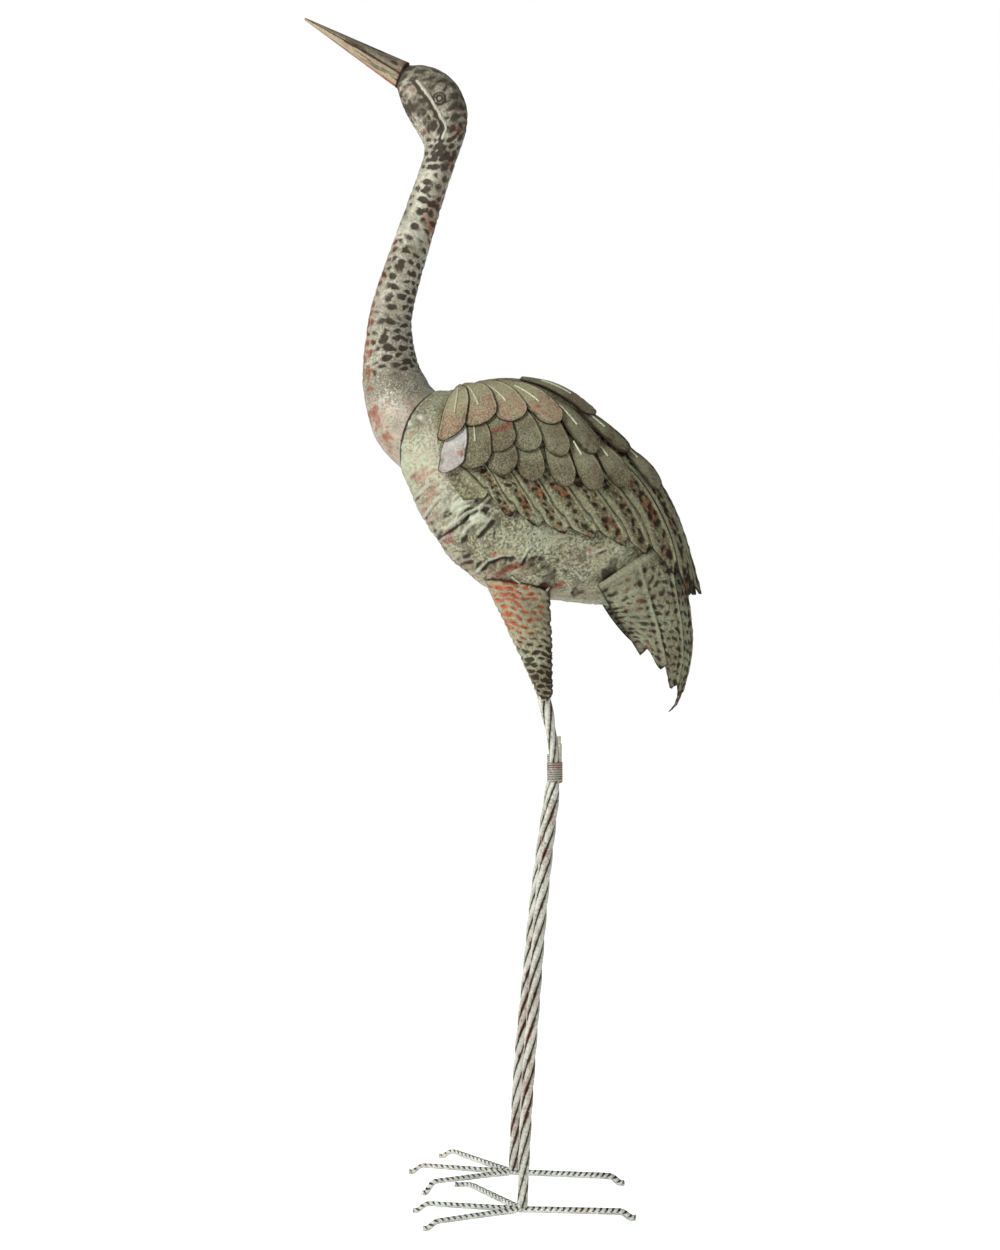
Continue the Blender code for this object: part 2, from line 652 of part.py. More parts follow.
# Legs
def twisted_bar(path, radii, pitch, lobes, step_length):
    """Closed twisted bar through points, its section a ring of rounded lobes."""
    lengths = [0.0]
    for a, b in zip(path, path[1:]):
        lengths.append(lengths[-1] + (b - a).length)
    count = max(2, round(lengths[-1] / step_length))
    steps = len(path) - 1
    rings = []
    for k in range(count + 1):
        u = k / count
        here = Vector(along(path, u))
        ahead = Vector(along(path, min(u + 0.01, 1.0))) - Vector(along(path, max(u - 0.01, 0.0)))
        frame = ahead.normalized()
        across = Vector((0, 1, 0)).cross(frame).normalized()
        side = frame.cross(across)
        radius = smooth([(n / steps, r) for n, r in enumerate(radii)], u)
        spin = 2 * math.pi * u * lengths[-1] / pitch
        ring = []
        for n in range(lobes * 2):
            reach = radius * (1.0 if n % 2 == 0 else 0.80)
            turn = spin + math.pi * n / lobes
            ring.append(here + (across * math.cos(turn) + side * math.sin(turn)) * reach)
        rings.append(ring)
    return loft(rings)


def leg_top():
    """Top of the rods in the median plane, and how high the thigh's cone runs."""
    belly = section(THIGH_STATION, math.pi)
    top = Vector((BREAST_X + LEG_AHEAD, 0, mix(KNEE_HEIGHT, belly.z, LEG_SHARE)))
    return top, belly.z + THIGH_SINK


def make_leg(name, side, foot_x, knee_x, material, wire):
    """Rod bundles above and below the knee and the binding that holds them."""
    y = side * STANCE / 2
    half_wrap = WRAP_TURNS * WIRE / 2
    top = leg_top()[0] + Vector((0, y, 0))
    knee = Vector((knee_x, y, KNEE_HEIGHT))
    foot = Vector((foot_x, y, TOE_HEIGHT + TOE_ROD / 2 + GAP))
    for part, low, high, bow, swell, step_length in (
            ("upper", knee + UPRIGHT * GAP / 2, top, UPPER_LEG_BOW, UPPER_LEG_SWELL, 0.013),
            ("lower", foot, knee - UPRIGHT * GAP / 2, LOWER_LEG_BOW, LOWER_LEG_SWELL, 0.019)):
        path = [Vector((mix(low.x, high.x, lean), y, mix(low.z, high.z, rise)))
                for rise, lean in bow]
        radii = [mix(KNEE_RADIUS, LEG_RADIUS, share) for share in swell]
        skin = twisted_bar(path, radii, STRAND_PITCH, 4, step_length)
        build(f"{name}_{part}_leg", *skin, material)
    sides = 12
    inner = KNEE_RADIUS + WRAP_CLEAR
    rings = []
    for reach, height in ((inner, half_wrap), (inner + WIRE * 0.8, half_wrap),
                          (inner + WIRE, half_wrap - WIRE / 2),
                          (inner + WIRE, WIRE / 2 - half_wrap),
                          (inner + WIRE * 0.8, -half_wrap), (inner, -half_wrap)):
        ring = []
        for n in range(sides):
            turn = 2 * math.pi * n / sides
            stretch = 1.10 if math.cos(turn) > 0 else 1.0
            ring.append(knee + Vector((reach * math.cos(turn) * stretch,
                                       reach * math.sin(turn), height)))
        rings.append(ring)
    points = [p for ring in rings for p in ring]
    faces = []
    for r in range(len(rings)):
        for k in range(sides):
            n = (k + 1) % sides
            m = (r + 1) % len(rings)
            faces.append((r * sides + k, r * sides + n, m * sides + n, m * sides + k))
    build(name + "_knee_wrap", points, faces, wire)


def make_thigh(name, side, seat, material):
    """Flattened cone: its top meets the body's underside, its tongue laps the leg."""
    leg, top = leg_top()
    shelf = leg.z + LEG_SEAT
    near = LEG_RADIUS + LAP_CLEAR
    stations = [(mix(shelf - GAP - THIGH_LAP, shelf - GAP, share), front, rear, near, near + thick)
                for share, front, rear, thick in THIGH_TONGUE]
    stations.append((shelf, *stations[-1][1:3], -near, stations[-1][4]))
    stations += [(mix(shelf, top, share), *sides) for share, *sides in THIGH_SHAPE]
    rings = []
    for height, front, rear, inner, outer in stations:
        ring = []
        for n in range(16):
            turn = math.pi * n / 8
            across = math.copysign(abs(math.sin(turn)) ** 0.8, math.sin(turn))
            out = (inner + outer) / 2 + (outer - inner) / 2 * across
            ring.append(Vector((leg.x + (front + rear) / 2 + (rear - front) / 2 * math.cos(turn),
                                side * (STANCE / 2 + out), height)))
        rings.append(ring)
    piece = build(name + "_thigh", *loft(rings), material)
    cut = piece.modifiers.new("seat", "BOOLEAN")
    cut.operation = "DIFFERENCE"
    cut.solver = "EXACT"
    cut.object = seat
    return piece


def heading_of(angle):
    """Level direction of a heading: 0 is forwards, positive to the bird's right."""
    turn = math.radians(angle)
    return Vector((-math.cos(turn), math.sin(turn), 0))


def make_toe(name, hub, heading, reach, rise, tip_heading, start, material):
    """Toe rod from the hub to the bend, then down to a flat on the ground."""
    ahead, onward = heading_of(heading), heading_of(tip_heading)
    radius = TOE_ROD / 2
    bend = TOE_HEIGHT + rise
    low = radius * TOE_SINK
    corner = hub + ahead * reach
    nodes = ((corner - ahead * TOE_KNUCKLE, ahead, bend),
             (corner + onward * TOE_KNUCKLE, onward, mix(bend, low, 0.12)),
             (corner + onward * TOE_TIP_RUN * 0.7, onward, low),
             (corner + onward * TOE_TIP_RUN, onward, low))
    sides = 6
    rings = []
    turns = [2 * math.pi * n / sides for n in range(sides)]
    lateral = UPRIGHT.cross(ahead)
    rings.append([start(hub + lateral * radius * math.cos(a)
                        + Vector((0, 0, radius * math.sin(a))), ahead) for a in turns])
    for place, direction, height in nodes:
        lateral = UPRIGHT.cross(direction)
        ring = []
        for a in turns:
            point = place + lateral * radius * math.cos(a)
            point.z = max(height + radius * math.sin(a), 0.0)
            ring.append(point)
        rings.append(ring)
    return build(name, *loft(rings), material, 30)


def make_foot(name, side, foot_x, toes, material):
    front_ahead = heading_of(toes["toe_front"][0])
    front_lateral = UPRIGHT.cross(front_ahead)
    hub = Vector((foot_x, side * STANCE / 2, TOE_HEIGHT))

    def butt(point, ahead):
        """Square end at the middle of the foot."""
        facing = 1 if ahead.dot(front_ahead) > 0 else -1
        distance = (point - hub).dot(front_ahead)
        run = (facing * GAP / 2 - distance) / ahead.dot(front_ahead)
        return point + ahead * run

    def mitre(point, ahead):
        """End cut to lie along the front toe's flank."""
        away = math.copysign(1, ahead.dot(front_lateral))
        clear = away * (TOE_ROD / 2 + GAP)
        run = (clear - (point - hub).dot(front_lateral)) / ahead.dot(front_lateral)
        return point + ahead * run

    for toe, (heading, reach, rise, tip_heading) in toes.items():
        start = butt if toe in ("toe_front", "toe_rear") else mitre
        make_toe(f"{name}_{toe}", hub, heading, reach, rise, tip_heading, start, material)


def centre_on_origin():
    """Stand the statue with the middle of its outline over the origin."""
    graph = bpy.context.evaluated_depsgraph_get()
    places = []
    for item in bpy.data.objects:
        if not item.hide_render:
            places += [v.co.copy() for v in item.evaluated_get(graph).data.vertices]
    for item in bpy.data.objects:
        for axis in (0, 1):
            reach = [p[axis] for p in places]
            item.location[axis] = -(min(reach) + max(reach)) / 2


def main():
    for item in list(bpy.data.objects):
        bpy.data.objects.remove(item, do_unlink=True)
    make_body()
    seat = body_form("thigh_seat", BODY_INSET - GAP, finish("seat", (0.5, 0.5, 0.5), 0.5))
    seat.hide_render = True
    seat.display_type = "WIRE"
    make_head_and_neck()
    make_beak()
    make_wings()
    make_tail()
    leg = finish("leg", (0.34, 0.36, 0.31), 0.45)
    thigh = finish("thigh", (0.30, 0.30, 0.22), 0.5)
    wire = finish("wire", (0.30, 0.31, 0.30), 0.45)
    toe = finish("toe", (0.38, 0.42, 0.38), 0.5)
    for name, side, foot_x, knee_x, toes in (
            ("left", -1, LEFT_FOOT_X, LEFT_KNEE_X, TOES_LEFT),
            ("right", 1, RIGHT_FOOT_X, RIGHT_KNEE_X, TOES_RIGHT)):
        make_thigh(name, side, seat, thigh)
        make_leg(name, side, foot_x, knee_x, leg, wire)
        make_foot(name, side, foot_x, toes, toe)
    centre_on_origin()


main()
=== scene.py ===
"""A crane for the garden in patinated sheet iron and twisted rod, dressed over its solids."""
import math

import bpy
import numpy as np
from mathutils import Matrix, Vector


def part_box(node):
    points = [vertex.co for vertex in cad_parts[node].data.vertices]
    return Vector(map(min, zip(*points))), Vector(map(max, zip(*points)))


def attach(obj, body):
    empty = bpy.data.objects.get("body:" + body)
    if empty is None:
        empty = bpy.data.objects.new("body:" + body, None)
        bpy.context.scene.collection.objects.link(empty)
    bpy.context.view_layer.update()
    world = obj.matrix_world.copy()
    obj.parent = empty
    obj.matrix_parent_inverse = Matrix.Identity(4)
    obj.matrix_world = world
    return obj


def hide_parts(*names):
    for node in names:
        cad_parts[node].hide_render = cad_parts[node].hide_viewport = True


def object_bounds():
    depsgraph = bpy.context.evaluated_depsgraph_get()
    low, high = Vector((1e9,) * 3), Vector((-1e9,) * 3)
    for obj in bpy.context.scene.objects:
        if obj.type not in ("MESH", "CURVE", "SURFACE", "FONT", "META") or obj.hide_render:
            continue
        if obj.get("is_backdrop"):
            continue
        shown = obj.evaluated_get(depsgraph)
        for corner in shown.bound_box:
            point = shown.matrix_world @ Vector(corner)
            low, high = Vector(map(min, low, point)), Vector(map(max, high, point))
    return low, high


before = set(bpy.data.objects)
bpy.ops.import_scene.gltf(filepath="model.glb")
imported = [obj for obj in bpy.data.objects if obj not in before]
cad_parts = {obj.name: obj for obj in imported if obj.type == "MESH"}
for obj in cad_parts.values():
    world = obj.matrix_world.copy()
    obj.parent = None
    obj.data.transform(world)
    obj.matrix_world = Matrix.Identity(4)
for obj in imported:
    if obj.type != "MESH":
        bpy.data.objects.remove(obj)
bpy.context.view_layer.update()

# Standpoint
# The statue stands on white in even studio light, seen level from its left side.
# Its own measures run from a point on the ground between the legs, which the
# binding at the left knee fixes in the frame.
KNEE = (0.050, -0.050)
BINDING_REACH = 0.0071
DISTANCE = 1.517
VIEW_HEIGHT = 0.5443
FOCAL_PIXELS = 1597.0
MIDDLE_PIXEL = (500.0, 625.0)
SENSOR_HEIGHT = 36.0     # in mm, as is the lens
LENS = 46.0
WHITE = (1.0, 1.0, 1.0, 1.0)
SKY_STRENGTH = 0.47
LAMPS = (("key", (-1.35, -1.55, 1.65), (0.0, 0.0, 0.70), 0.40, 40.0),
         ("front", (-2.0, 0.1, 0.9), (0.0, 0.0, 0.80), 0.8, 12.0))
FLOOR_REACH = 9.0
FLOOR_COLOUR = (0.93, 0.93, 0.93, 1.0)
FLOOR_ROUGHNESS = 0.9
FLOOR_GLOW = 0.62
binding_low, binding_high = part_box("left_knee_wrap")
ORIGIN = np.array((binding_low.x + BINDING_REACH - KNEE[0],
                   (binding_low.y + binding_high.y) / 2 - KNEE[1], 0.0))

camera = bpy.data.objects.new("camera", bpy.data.cameras.new("camera"))
camera.data.sensor_fit = "VERTICAL"
camera.data.sensor_height = SENSOR_HEIGHT
camera.data.lens = LENS
camera.location = Vector(ORIGIN) + Vector((0, -DISTANCE, VIEW_HEIGHT))
camera.rotation_euler = (math.radians(90), 0, 0)
bpy.context.scene.collection.objects.link(camera)
bpy.context.scene.camera = camera

world = bpy.data.worlds.new("studio")
world.use_nodes = True
studio = world.node_tree.nodes["Background"]
studio.inputs["Color"].default_value = WHITE
studio.inputs["Strength"].default_value = SKY_STRENGTH
backdrop = world.node_tree.nodes.new("ShaderNodeBackground")
backdrop.inputs["Color"].default_value = WHITE
chosen = world.node_tree.nodes.new("ShaderNodeMixShader")
world.node_tree.links.new(
    world.node_tree.nodes.new("ShaderNodeLightPath").outputs["Is Camera Ray"], chosen.inputs[0])
world.node_tree.links.new(studio.outputs[0], chosen.inputs[1])
world.node_tree.links.new(backdrop.outputs[0], chosen.inputs[2])
world.node_tree.links.new(chosen.outputs[0], world.node_tree.nodes["World Output"].inputs[0])
bpy.context.scene.world = world
bpy.context.scene.view_settings.view_transform = "Standard"

for name, place, aim, size, power in LAMPS:
    lamp = bpy.data.lights.new(name, "AREA")
    lamp.size = size
    lamp.energy = power
    light = bpy.data.objects.new(name, lamp)
    light.location = place
    light.rotation_euler = (Vector(aim) - Vector(place)).to_track_quat("-Z", "Y").to_euler()
    bpy.context.scene.collection.objects.link(light)

floor_mesh = bpy.data.meshes.new("floor")
corners = [(x * FLOOR_REACH, y * FLOOR_REACH, 0.0) for x, y in ((-1, -1), (1, -1), (1, 1), (-1, 1))]
floor_mesh.from_pydata(corners, [], [(0, 1, 2, 3)])
floor = bpy.data.objects.new("floor", floor_mesh)
bpy.context.scene.collection.objects.link(floor)
ground = bpy.data.materials.new("white_ground")
ground.use_nodes = True
ground_shader = ground.node_tree.nodes["Principled BSDF"]
for key, value in (("Base Color", FLOOR_COLOUR), ("Roughness", FLOOR_ROUGHNESS),
                   ("Emission Color", WHITE), ("Emission Strength", FLOOR_GLOW)):
    ground_shader.inputs[key].default_value = value
floor_mesh.materials.append(ground)
floor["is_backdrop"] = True


# Body
# A hollow egg of thin sheet iron, hammered, welded along the breast joint and
# patinated in grey green, with rust where the sheet was heated. It ends on a
# slant under the tail, and the thighs are tack-welded to its underside.
BODY_PITCH = math.radians(24)
AXIS = np.array((math.cos(BODY_PITCH), 0.0, -math.sin(BODY_PITCH)))
UP = np.array((math.sin(BODY_PITCH), 0.0, math.cos(BODY_PITCH)))
BREAST = np.array((-0.0791, 0.0, 0.7289))
# Distance along the axis from the breast joint, and height above it or half width there
BACK_LINE = ((-0.008, 0.038), (0.017, 0.050), (0.052, 0.074), (0.082, 0.0845), (0.112, 0.0860),
             (0.146, 0.0778), (0.175, 0.0693), (0.210, 0.0572), (0.238, 0.0402), (0.262, 0.0192),
             (0.301, -0.027), (0.320, -0.052))
KEEL_LINE = ((-0.008, -0.030), (0.009, -0.0473), (0.040, -0.075), (0.080, -0.099),
             (0.108, -0.107), (0.124, -0.1095), (0.145, -0.107), (0.180, -0.096),
             (0.234, -0.079), (0.320, -0.058))
HALF_WIDTH = ((-0.008, 0.040), (0.040, 0.057), (0.080, 0.068), (0.125, 0.074), (0.170, 0.071),
              (0.210, 0.063), (0.240, 0.054), (0.270, 0.043), (0.320, 0.016))
LOWER_FULLNESS = 3.0
BODY_INSET = 0.0008
BODY_END = 0.272
BREAST_EDGE = 0.003
BREAST_BULGE = 0.010
JOINT_GAP = 0.0003
TAIL_EDGE = np.array(((0.1682, -0.1480), (0.2091, -0.2129)))
TAIL_BACK = np.array(((0.2468, -0.0946), (0.2563, -0.1514), (0.2618, -0.1989), (0.2577, -0.2369)))
KEEL_END = (0.1836, -0.1684)
TAIL_UNDERLAP = 0.006
TAIL_SINK = 0.0046
TAIL_SHEET_IN = 0.0012
TAIL_SEAT = 0.0030
TUCK_RUN = 0.010
KEEL_STAY = 0.15


def curve(table, x):
    """Smooth curve through (position, value) pairs."""
    places, values = np.array(table, float).T
    slopes = np.gradient(values)
    slopes[1:-1] = (values[2:] - values[:-2]) / (places[2:] - places[:-2])
    slopes[0] = (values[1] - values[0]) / (places[1] - places[0])
    slopes[-1] = (values[-1] - values[-2]) / (places[-1] - places[-2])
    i = np.clip(np.searchsorted(places, x) - 1, 0, len(places) - 2)
    h = places[i + 1] - places[i]
    u = (x - places[i]) / h
    return ((2 * u**3 - 3 * u**2 + 1) * values[i] + (u**3 - 2 * u**2 + u) * h * slopes[i]
            + (3 * u**2 - 2 * u**3) * values[i + 1] + (u**3 - u**2) * h * slopes[i + 1])


def along(points, u):
    """Points at shares u of a smooth curve through points."""
    points = np.asarray(points, float)
    shares = np.linspace(0, 1, len(points))
    return np.stack([curve(list(zip(shares, column)), u) for column in points.T], -1)


def ease(u):
    """Soft step from 0 to 1 while u goes from 0 to 1."""
    u = np.clip(u, 0.0, 1.0)
    return u * u * (3 - 2 * u)


def power_of(value, power):
    """Power that keeps the value's sign."""
    return np.sign(value) * np.abs(value) ** power


def section(s, turn, inset=0.0):
    """Point of the flank form: s along the axis, turn from the ridge of the back."""
    top, keel = curve(BACK_LINE, s) - inset, curve(KEEL_LINE, s) + inset
    width = curve(HALF_WIDTH, s) - inset
    c, w = np.cos(turn), np.sin(turn)
    power = np.where(c > 0, 1.0, 2.0 / LOWER_FULLNESS)
    across = (top + keel) / 2 + (top - keel) / 2 * power_of(c, power)
    side = width * power_of(w, power)
    return (BREAST + AXIS * np.asarray(s)[..., None] + UP * across[..., None]
            + np.array((0.0, -1.0, 0.0)) * side[..., None])


def from_breast(point):
    """Place of a point that is given behind and above the breast joint."""
    point = np.asarray(point)
    return BREAST + np.stack([point[..., 0], 0 * point[..., 0], point[..., 1]], -1)


def unit(vector):
    return vector / np.linalg.norm(vector, axis=-1, keepdims=True)


def sight(points):
    """Where points of the near side lie in the photograph, in pixels."""
    reach = (DISTANCE - np.abs(points[..., 1])) / FOCAL_PIXELS
    return np.stack([MIDDLE_PIXEL[0] + points[..., 0] / reach,
                     MIDDLE_PIXEL[1] + (VIEW_HEIGHT - points[..., 2]) / reach], -1)


def lattice(points, scale, seed):
    """Soft random field between -1 and 1, its lumps 1 / scale apart."""
    points = np.asarray(points) * scale + seed * 17.31
    cell = np.floor(points).astype(np.int64)
    share = ease(points - cell)
    total = np.zeros(points.shape[:-1])
    for corner in np.ndindex(*(2,) * points.shape[-1]):
        weight = np.ones(points.shape[:-1])
        mark = np.full(points.shape[:-1], seed * 7919 + 13, np.int64)
        for axis, step in enumerate(corner):
            weight = weight * (share[..., axis] if step else 1 - share[..., axis])
            mark = (mark ^ (cell[..., axis] + step) * (73856093, 19349663, 83492791)[axis])
            mark = (mark * 1103515245 + 12345) & 0x7FFFFFFF
            mark = mark ^ (mark >> 13)
        total += weight * ((mark & 0xFFFF) / 32767.5 - 1)
    return total


def rough(points, scale, seed, layers=3):
    """Random field with finer and weaker layers on top."""
    return sum(lattice(points, scale * 2.1**k, seed + k) * 0.55**k for k in range(layers)) * 0.8


def stroke(place, line, width):
    """1 on a line of points in the photograph, falling to 0 a width away."""
    best = np.full(place.shape[:-1], 1e9)
    line = np.asarray(line, float)
    for a, b in zip(line, line[1:]):
        run = b - a
        share = np.clip(((place - a) @ run) / (run @ run), 0, 1)
        best = np.minimum(best, np.linalg.norm(place - a - share[..., None] * run, axis=-1))
    return np.exp(-(best / width) ** 2)


def patch(place, x, y, wide, high, lean=0.0):
    """1 in the middle of an oval region of the photograph, fading outwards."""
    c, s = math.cos(math.radians(lean)), math.sin(math.radians(lean))
    u = (place[..., 0] - x) * c + (place[..., 1] - y) * s
    v = (place[..., 1] - y) * c - (place[..., 0] - x) * s
    return np.exp(-((u / wide) ** 2 + (v / high) ** 2))


def patches(place, ovals):
    """Sum of ovals of the photograph, each with its strength as its last number."""
    return sum(strength * patch(place, *oval) for *oval, strength in ovals)


def dashes(across, run, reach, thick, seed):
    """Rows of short marks, each row shifted from the next and every mark a little off."""
    fray = np.stack([across, run], -1)
    across = across + 0.16 * rough(fray, 3.1, seed + 5, 2)
    run = run + 0.16 * rough(fray, 3.1, seed + 6, 2)
    row = np.floor(run)
    shifted = across + 0.5 * (row % 2)
    column = np.floor(shifted)
    cell = np.stack([row, column], -1)
    off_x, off_y, size = (lattice(cell + 0.37, 1.31, seed + k) for k in range(3))
    dx = (shifted - column - 0.5 - 0.16 * off_x) / (reach * (1 + 0.35 * size))
    dy = (run - row - 0.5 - 0.18 * off_y + 0.25 * dx * off_x) / (thick * (1 + 0.3 * size))
    return np.exp(-(dx**2 + dy**2) ** 2)


def outward_of(rings):
    """Normals of a tube's rings of points, away from the middle of each ring."""
    around = np.roll(rings, -1, axis=1) - np.roll(rings, 1, axis=1)
    normals = unit(np.cross(around, np.gradient(rings, axis=0)) + 1e-12)
    from_middle = rings - rings.mean(1, keepdims=True)
    return normals * np.sign(np.sum(normals * from_middle, -1, keepdims=True))


MARKS = ("dark", "rust", "pale", "pink")


def unpainted(shape):
    """Paint marks of a piece before anything is painted on it."""
    return {mark: np.zeros(shape) for mark in MARKS}


def make_piece(name, points, faces, material, nodes, marks=None):
    """Mesh of one piece in the frame, with its paint marks."""
    mesh = bpy.data.meshes.new(name)
    points = np.asarray(points, float).reshape(-1, 3) + ORIGIN
    mesh.from_pydata(points.tolist(), [], [tuple(f) for f in faces])
    mesh.update()
    mesh.materials.append(material)
    return dress(name, mesh, nodes, marks)


def dress(name, mesh, nodes, marks=None):
    """Object of a finished mesh, riding on the statue in place of its nodes."""
    points = mesh.vertices
    for mark in MARKS:
        layer = mesh.attributes.new(mark, "FLOAT", "POINT")
        values = np.zeros(len(points)) if marks is None or mark not in marks else marks[mark]
        layer.data.foreach_set("value", np.clip(np.ravel(values), 0, 1).astype(np.float32))
    mesh.shade_smooth()
    piece = bpy.data.objects.new(name, mesh)
    bpy.context.scene.collection.objects.link(piece)
    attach(piece, "root")
    if nodes:
        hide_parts(*nodes)
    return piece


def with_hubs(marks, shape, bare=2):
    """Marks of a tube's points, followed by bare ones for the points that close it."""
    return {mark: np.append((marks[mark] * np.ones(shape)).ravel(), np.zeros(bare))
            for mark in MARKS}


def tube_faces(rows, columns):
    """Faces of a closed tube of rings, with a hub point after the rings at each end."""
    first = np.arange(rows - 1)[:, None] * columns
    k = np.arange(columns)[None, :]
    n = (k + 1) % columns
    quads = np.stack([first + k, first + n, first + columns + n, first + columns + k], -1)
    faces = quads.reshape(-1, 4).tolist()
    start, end = rows * columns, rows * columns + 1
    last = (rows - 1) * columns
    faces += [(j, start, (j + 1) % columns) for j in range(columns)]
    faces += [(last + j, last + (j + 1) % columns, end) for j in range(columns)]
    return faces


GRAIN_DEPTH = 0.0010
SPECULAR_LEVEL = 0.25
CLOUD_SCALE = 38.0
WIDE_SCALE = 15.0


class Flow:
    """A socket in a sum: the operators on it add the nodes of that sum."""

    def __init__(self, paint, socket):
        self.paint = paint
        self.socket = socket

    def sum(self, operation, first, second):
        return self.paint.node("ShaderNodeMath", {"operation": operation}, {0: first, 1: second})

    def __add__(self, other):
        return self.sum("ADD", self, other)

    __radd__ = __add__

    def __mul__(self, other):
        return self.sum("MULTIPLY", self, other)

    __rmul__ = __mul__

    def __sub__(self, other):
        return self.sum("SUBTRACT", self, other)

    def __rsub__(self, other):
        return self.sum("SUBTRACT", other, self)


class Paint:
    """A finish in the making."""

    def __init__(self, name, metallic):
        self.material = bpy.data.materials.new(name)
        self.material.use_nodes = True
        self.tree = self.material.node_tree
        self.shader = self.tree.nodes["Principled BSDF"]
        self.shader.inputs["Metallic"].default_value = metallic
        self.shader.inputs["Specular IOR Level"].default_value = SPECULAR_LEVEL

    def node(self, kind, settings, sockets, output=0):
        """One node: its settings first, then values or flows for its sockets."""
        node = self.tree.nodes.new(kind)
        for key, value in settings.items():
            setattr(node, key, value)
        for key, value in sockets.items():
            if isinstance(value, Flow):
                self.tree.links.new(value.socket, node.inputs[key])
            else:
                node.inputs[key].default_value = value
        return Flow(self, node.outputs[output])

    def mark(self, name):
        """One of the painted marks of the piece."""
        return self.node("ShaderNodeAttribute", {"attribute_name": name}, {}, "Fac")

    def noise(self, scale, detail=3.0, spread=0.6, bend=0.0):
        return self.node("ShaderNodeTexNoise", {}, {
            "Vector": self.node("ShaderNodeTexCoord", {}, {}, "Object"), "Scale": scale,
            "Detail": detail, "Roughness": spread, "Distortion": bend})

    def between(self, value, low, high):
        return self.node("ShaderNodeMapRange", {"interpolation_type": "SMOOTHSTEP"},
                         {0: value, 1: low, 2: high, 3: 0.0, 4: 1.0})

    def mix(self, share, first, second, blend="MIX"):
        return self.node("ShaderNodeMix", {"data_type": "RGBA", "blend_type": blend},
                         {0: share, 6: first, 7: second}, 2)

    def finish(self, colour, roughness, height, strength):
        """The material, once its three varying sockets are linked."""
        bump = self.node("ShaderNodeBump", {}, {"Height": height, "Distance": GRAIN_DEPTH,
                                                "Strength": strength})
        for key, value in (("Base Color", colour), ("Roughness", roughness), ("Normal", bump)):
            self.tree.links.new(value.socket, self.shader.inputs[key])
        return self.material


def shade(red, green, blue):
    """Colour from 8-bit values as they look."""
    return tuple((v / 255 / 12.92) if v <= 10 else ((v / 255 + 0.055) / 1.055) ** 2.4
                 for v in (red, green, blue)) + (1.0,)


def patina(name, plain, light, speck, deep, rust=(158, 92, 66), pink=(178, 134, 128),
           bright=None, grain=420.0, speckle=0.5, blotch=0.35, gloss=0.42, metallic=0.25,
           bump=0.5):
    """Patinated sheet: a clouded ground, fine dark grain, blotches, and the painted marks."""
    paint = Paint(name, metallic)
    cloud = paint.noise(CLOUD_SCALE, 5.0, 0.62)
    fine = paint.noise(grain, 3.0, 0.65)
    coarse = paint.noise(grain * 0.28, 3.0, 0.6, bend=0.6)
    wide = paint.noise(WIDE_SCALE, 3.0, 0.5)
    bright = bright or tuple(min(v * 1.14, 255) for v in light)
    colour = paint.mix(paint.between(cloud, 0.36, 0.66), shade(*plain), shade(*light))
    colour = paint.mix(paint.between(fine, 0.54, 0.70) * 0.55, colour, shade(*bright))
    grain_mask = paint.between(1.0 - fine + (wide - 0.5) * 0.45, 0.49, 0.62) * speckle
    colour = paint.mix(grain_mask, colour, shade(*speck))
    pinkish = paint.mark("pink") * paint.between(coarse, 0.34, 0.62)
    colour = paint.mix(pinkish * 0.75, colour, shade(*pink))
    rusty = paint.between(paint.mark("rust") + (coarse - 0.5) * 1.5 + (fine - 0.5) * 1.1, 0.42, 0.85)
    burnt = paint.mix(paint.between(fine, 0.40, 0.58), shade(*(v * 0.66 for v in rust)),
                      shade(*rust))
    colour = paint.mix(rusty * 0.88, colour, burnt)
    blotches = paint.between(coarse + (wide - 0.5) * 0.35, 0.58, 0.70) * blotch
    colour = paint.mix(blotches, colour, shade(*deep))
    colour = paint.mix(paint.mark("pale") * 0.85, colour, shade(*bright))
    darkened = paint.between(paint.mark("dark") + (fine - 0.5) * 0.9 + (coarse - 0.5) * 0.6,
                             0.28, 0.90)
    colour = paint.mix(darkened * 0.94, colour, shade(*deep))
    roughness = gloss + 0.22 * darkened + 0.16 * grain_mask
    height = fine * 0.8 + coarse * 0.9 - grain_mask * 0.4
    return paint.finish(colour, roughness, height, bump)


# The body's mesh: rings from the breast joint to the slanted end
HOLLOW_END_DARK = 0.4
END_SEARCH = 0.05
BODY_RINGS = 230
BODY_SIDES = 380
turns = np.linspace(0, 2 * math.pi, BODY_SIDES, endpoint=False)
front_s = BREAST_EDGE - BREAST_BULGE * np.sin(turns) ** 2 + JOINT_GAP / 2
slant_edge = from_breast(TAIL_EDGE[0])
slant = unit(from_breast(TAIL_BACK[0]) - slant_edge)
rearward = unit(np.cross((0.0, 1.0, 0.0), slant))
rearward *= np.sign(rearward[0])
keel_end = from_breast(KEEL_END)
ridge_end = from_breast(TAIL_BACK[0]) + rearward * TAIL_UNDERLAP
body_cut = unit(np.cross((0.0, 1.0, 0.0), ridge_end - keel_end))
body_cut *= np.sign(body_cut[0])


def body_shell(s, turn):
    """Point of the body's sheet, tucked in under the tail."""
    under = (section(s, turn) - slant_edge) @ rearward
    tuck = TAIL_SHEET_IN + TAIL_SEAT + TAIL_SINK * np.maximum(0, np.cos(turn))
    tuck = tuck * ease(1.2 + under / TUCK_RUN)
    tuck = tuck * ease((np.cos(turn) + 1 - KEEL_STAY / 5) / KEEL_STAY)
    return section(s, turn, BODY_INSET + tuck)


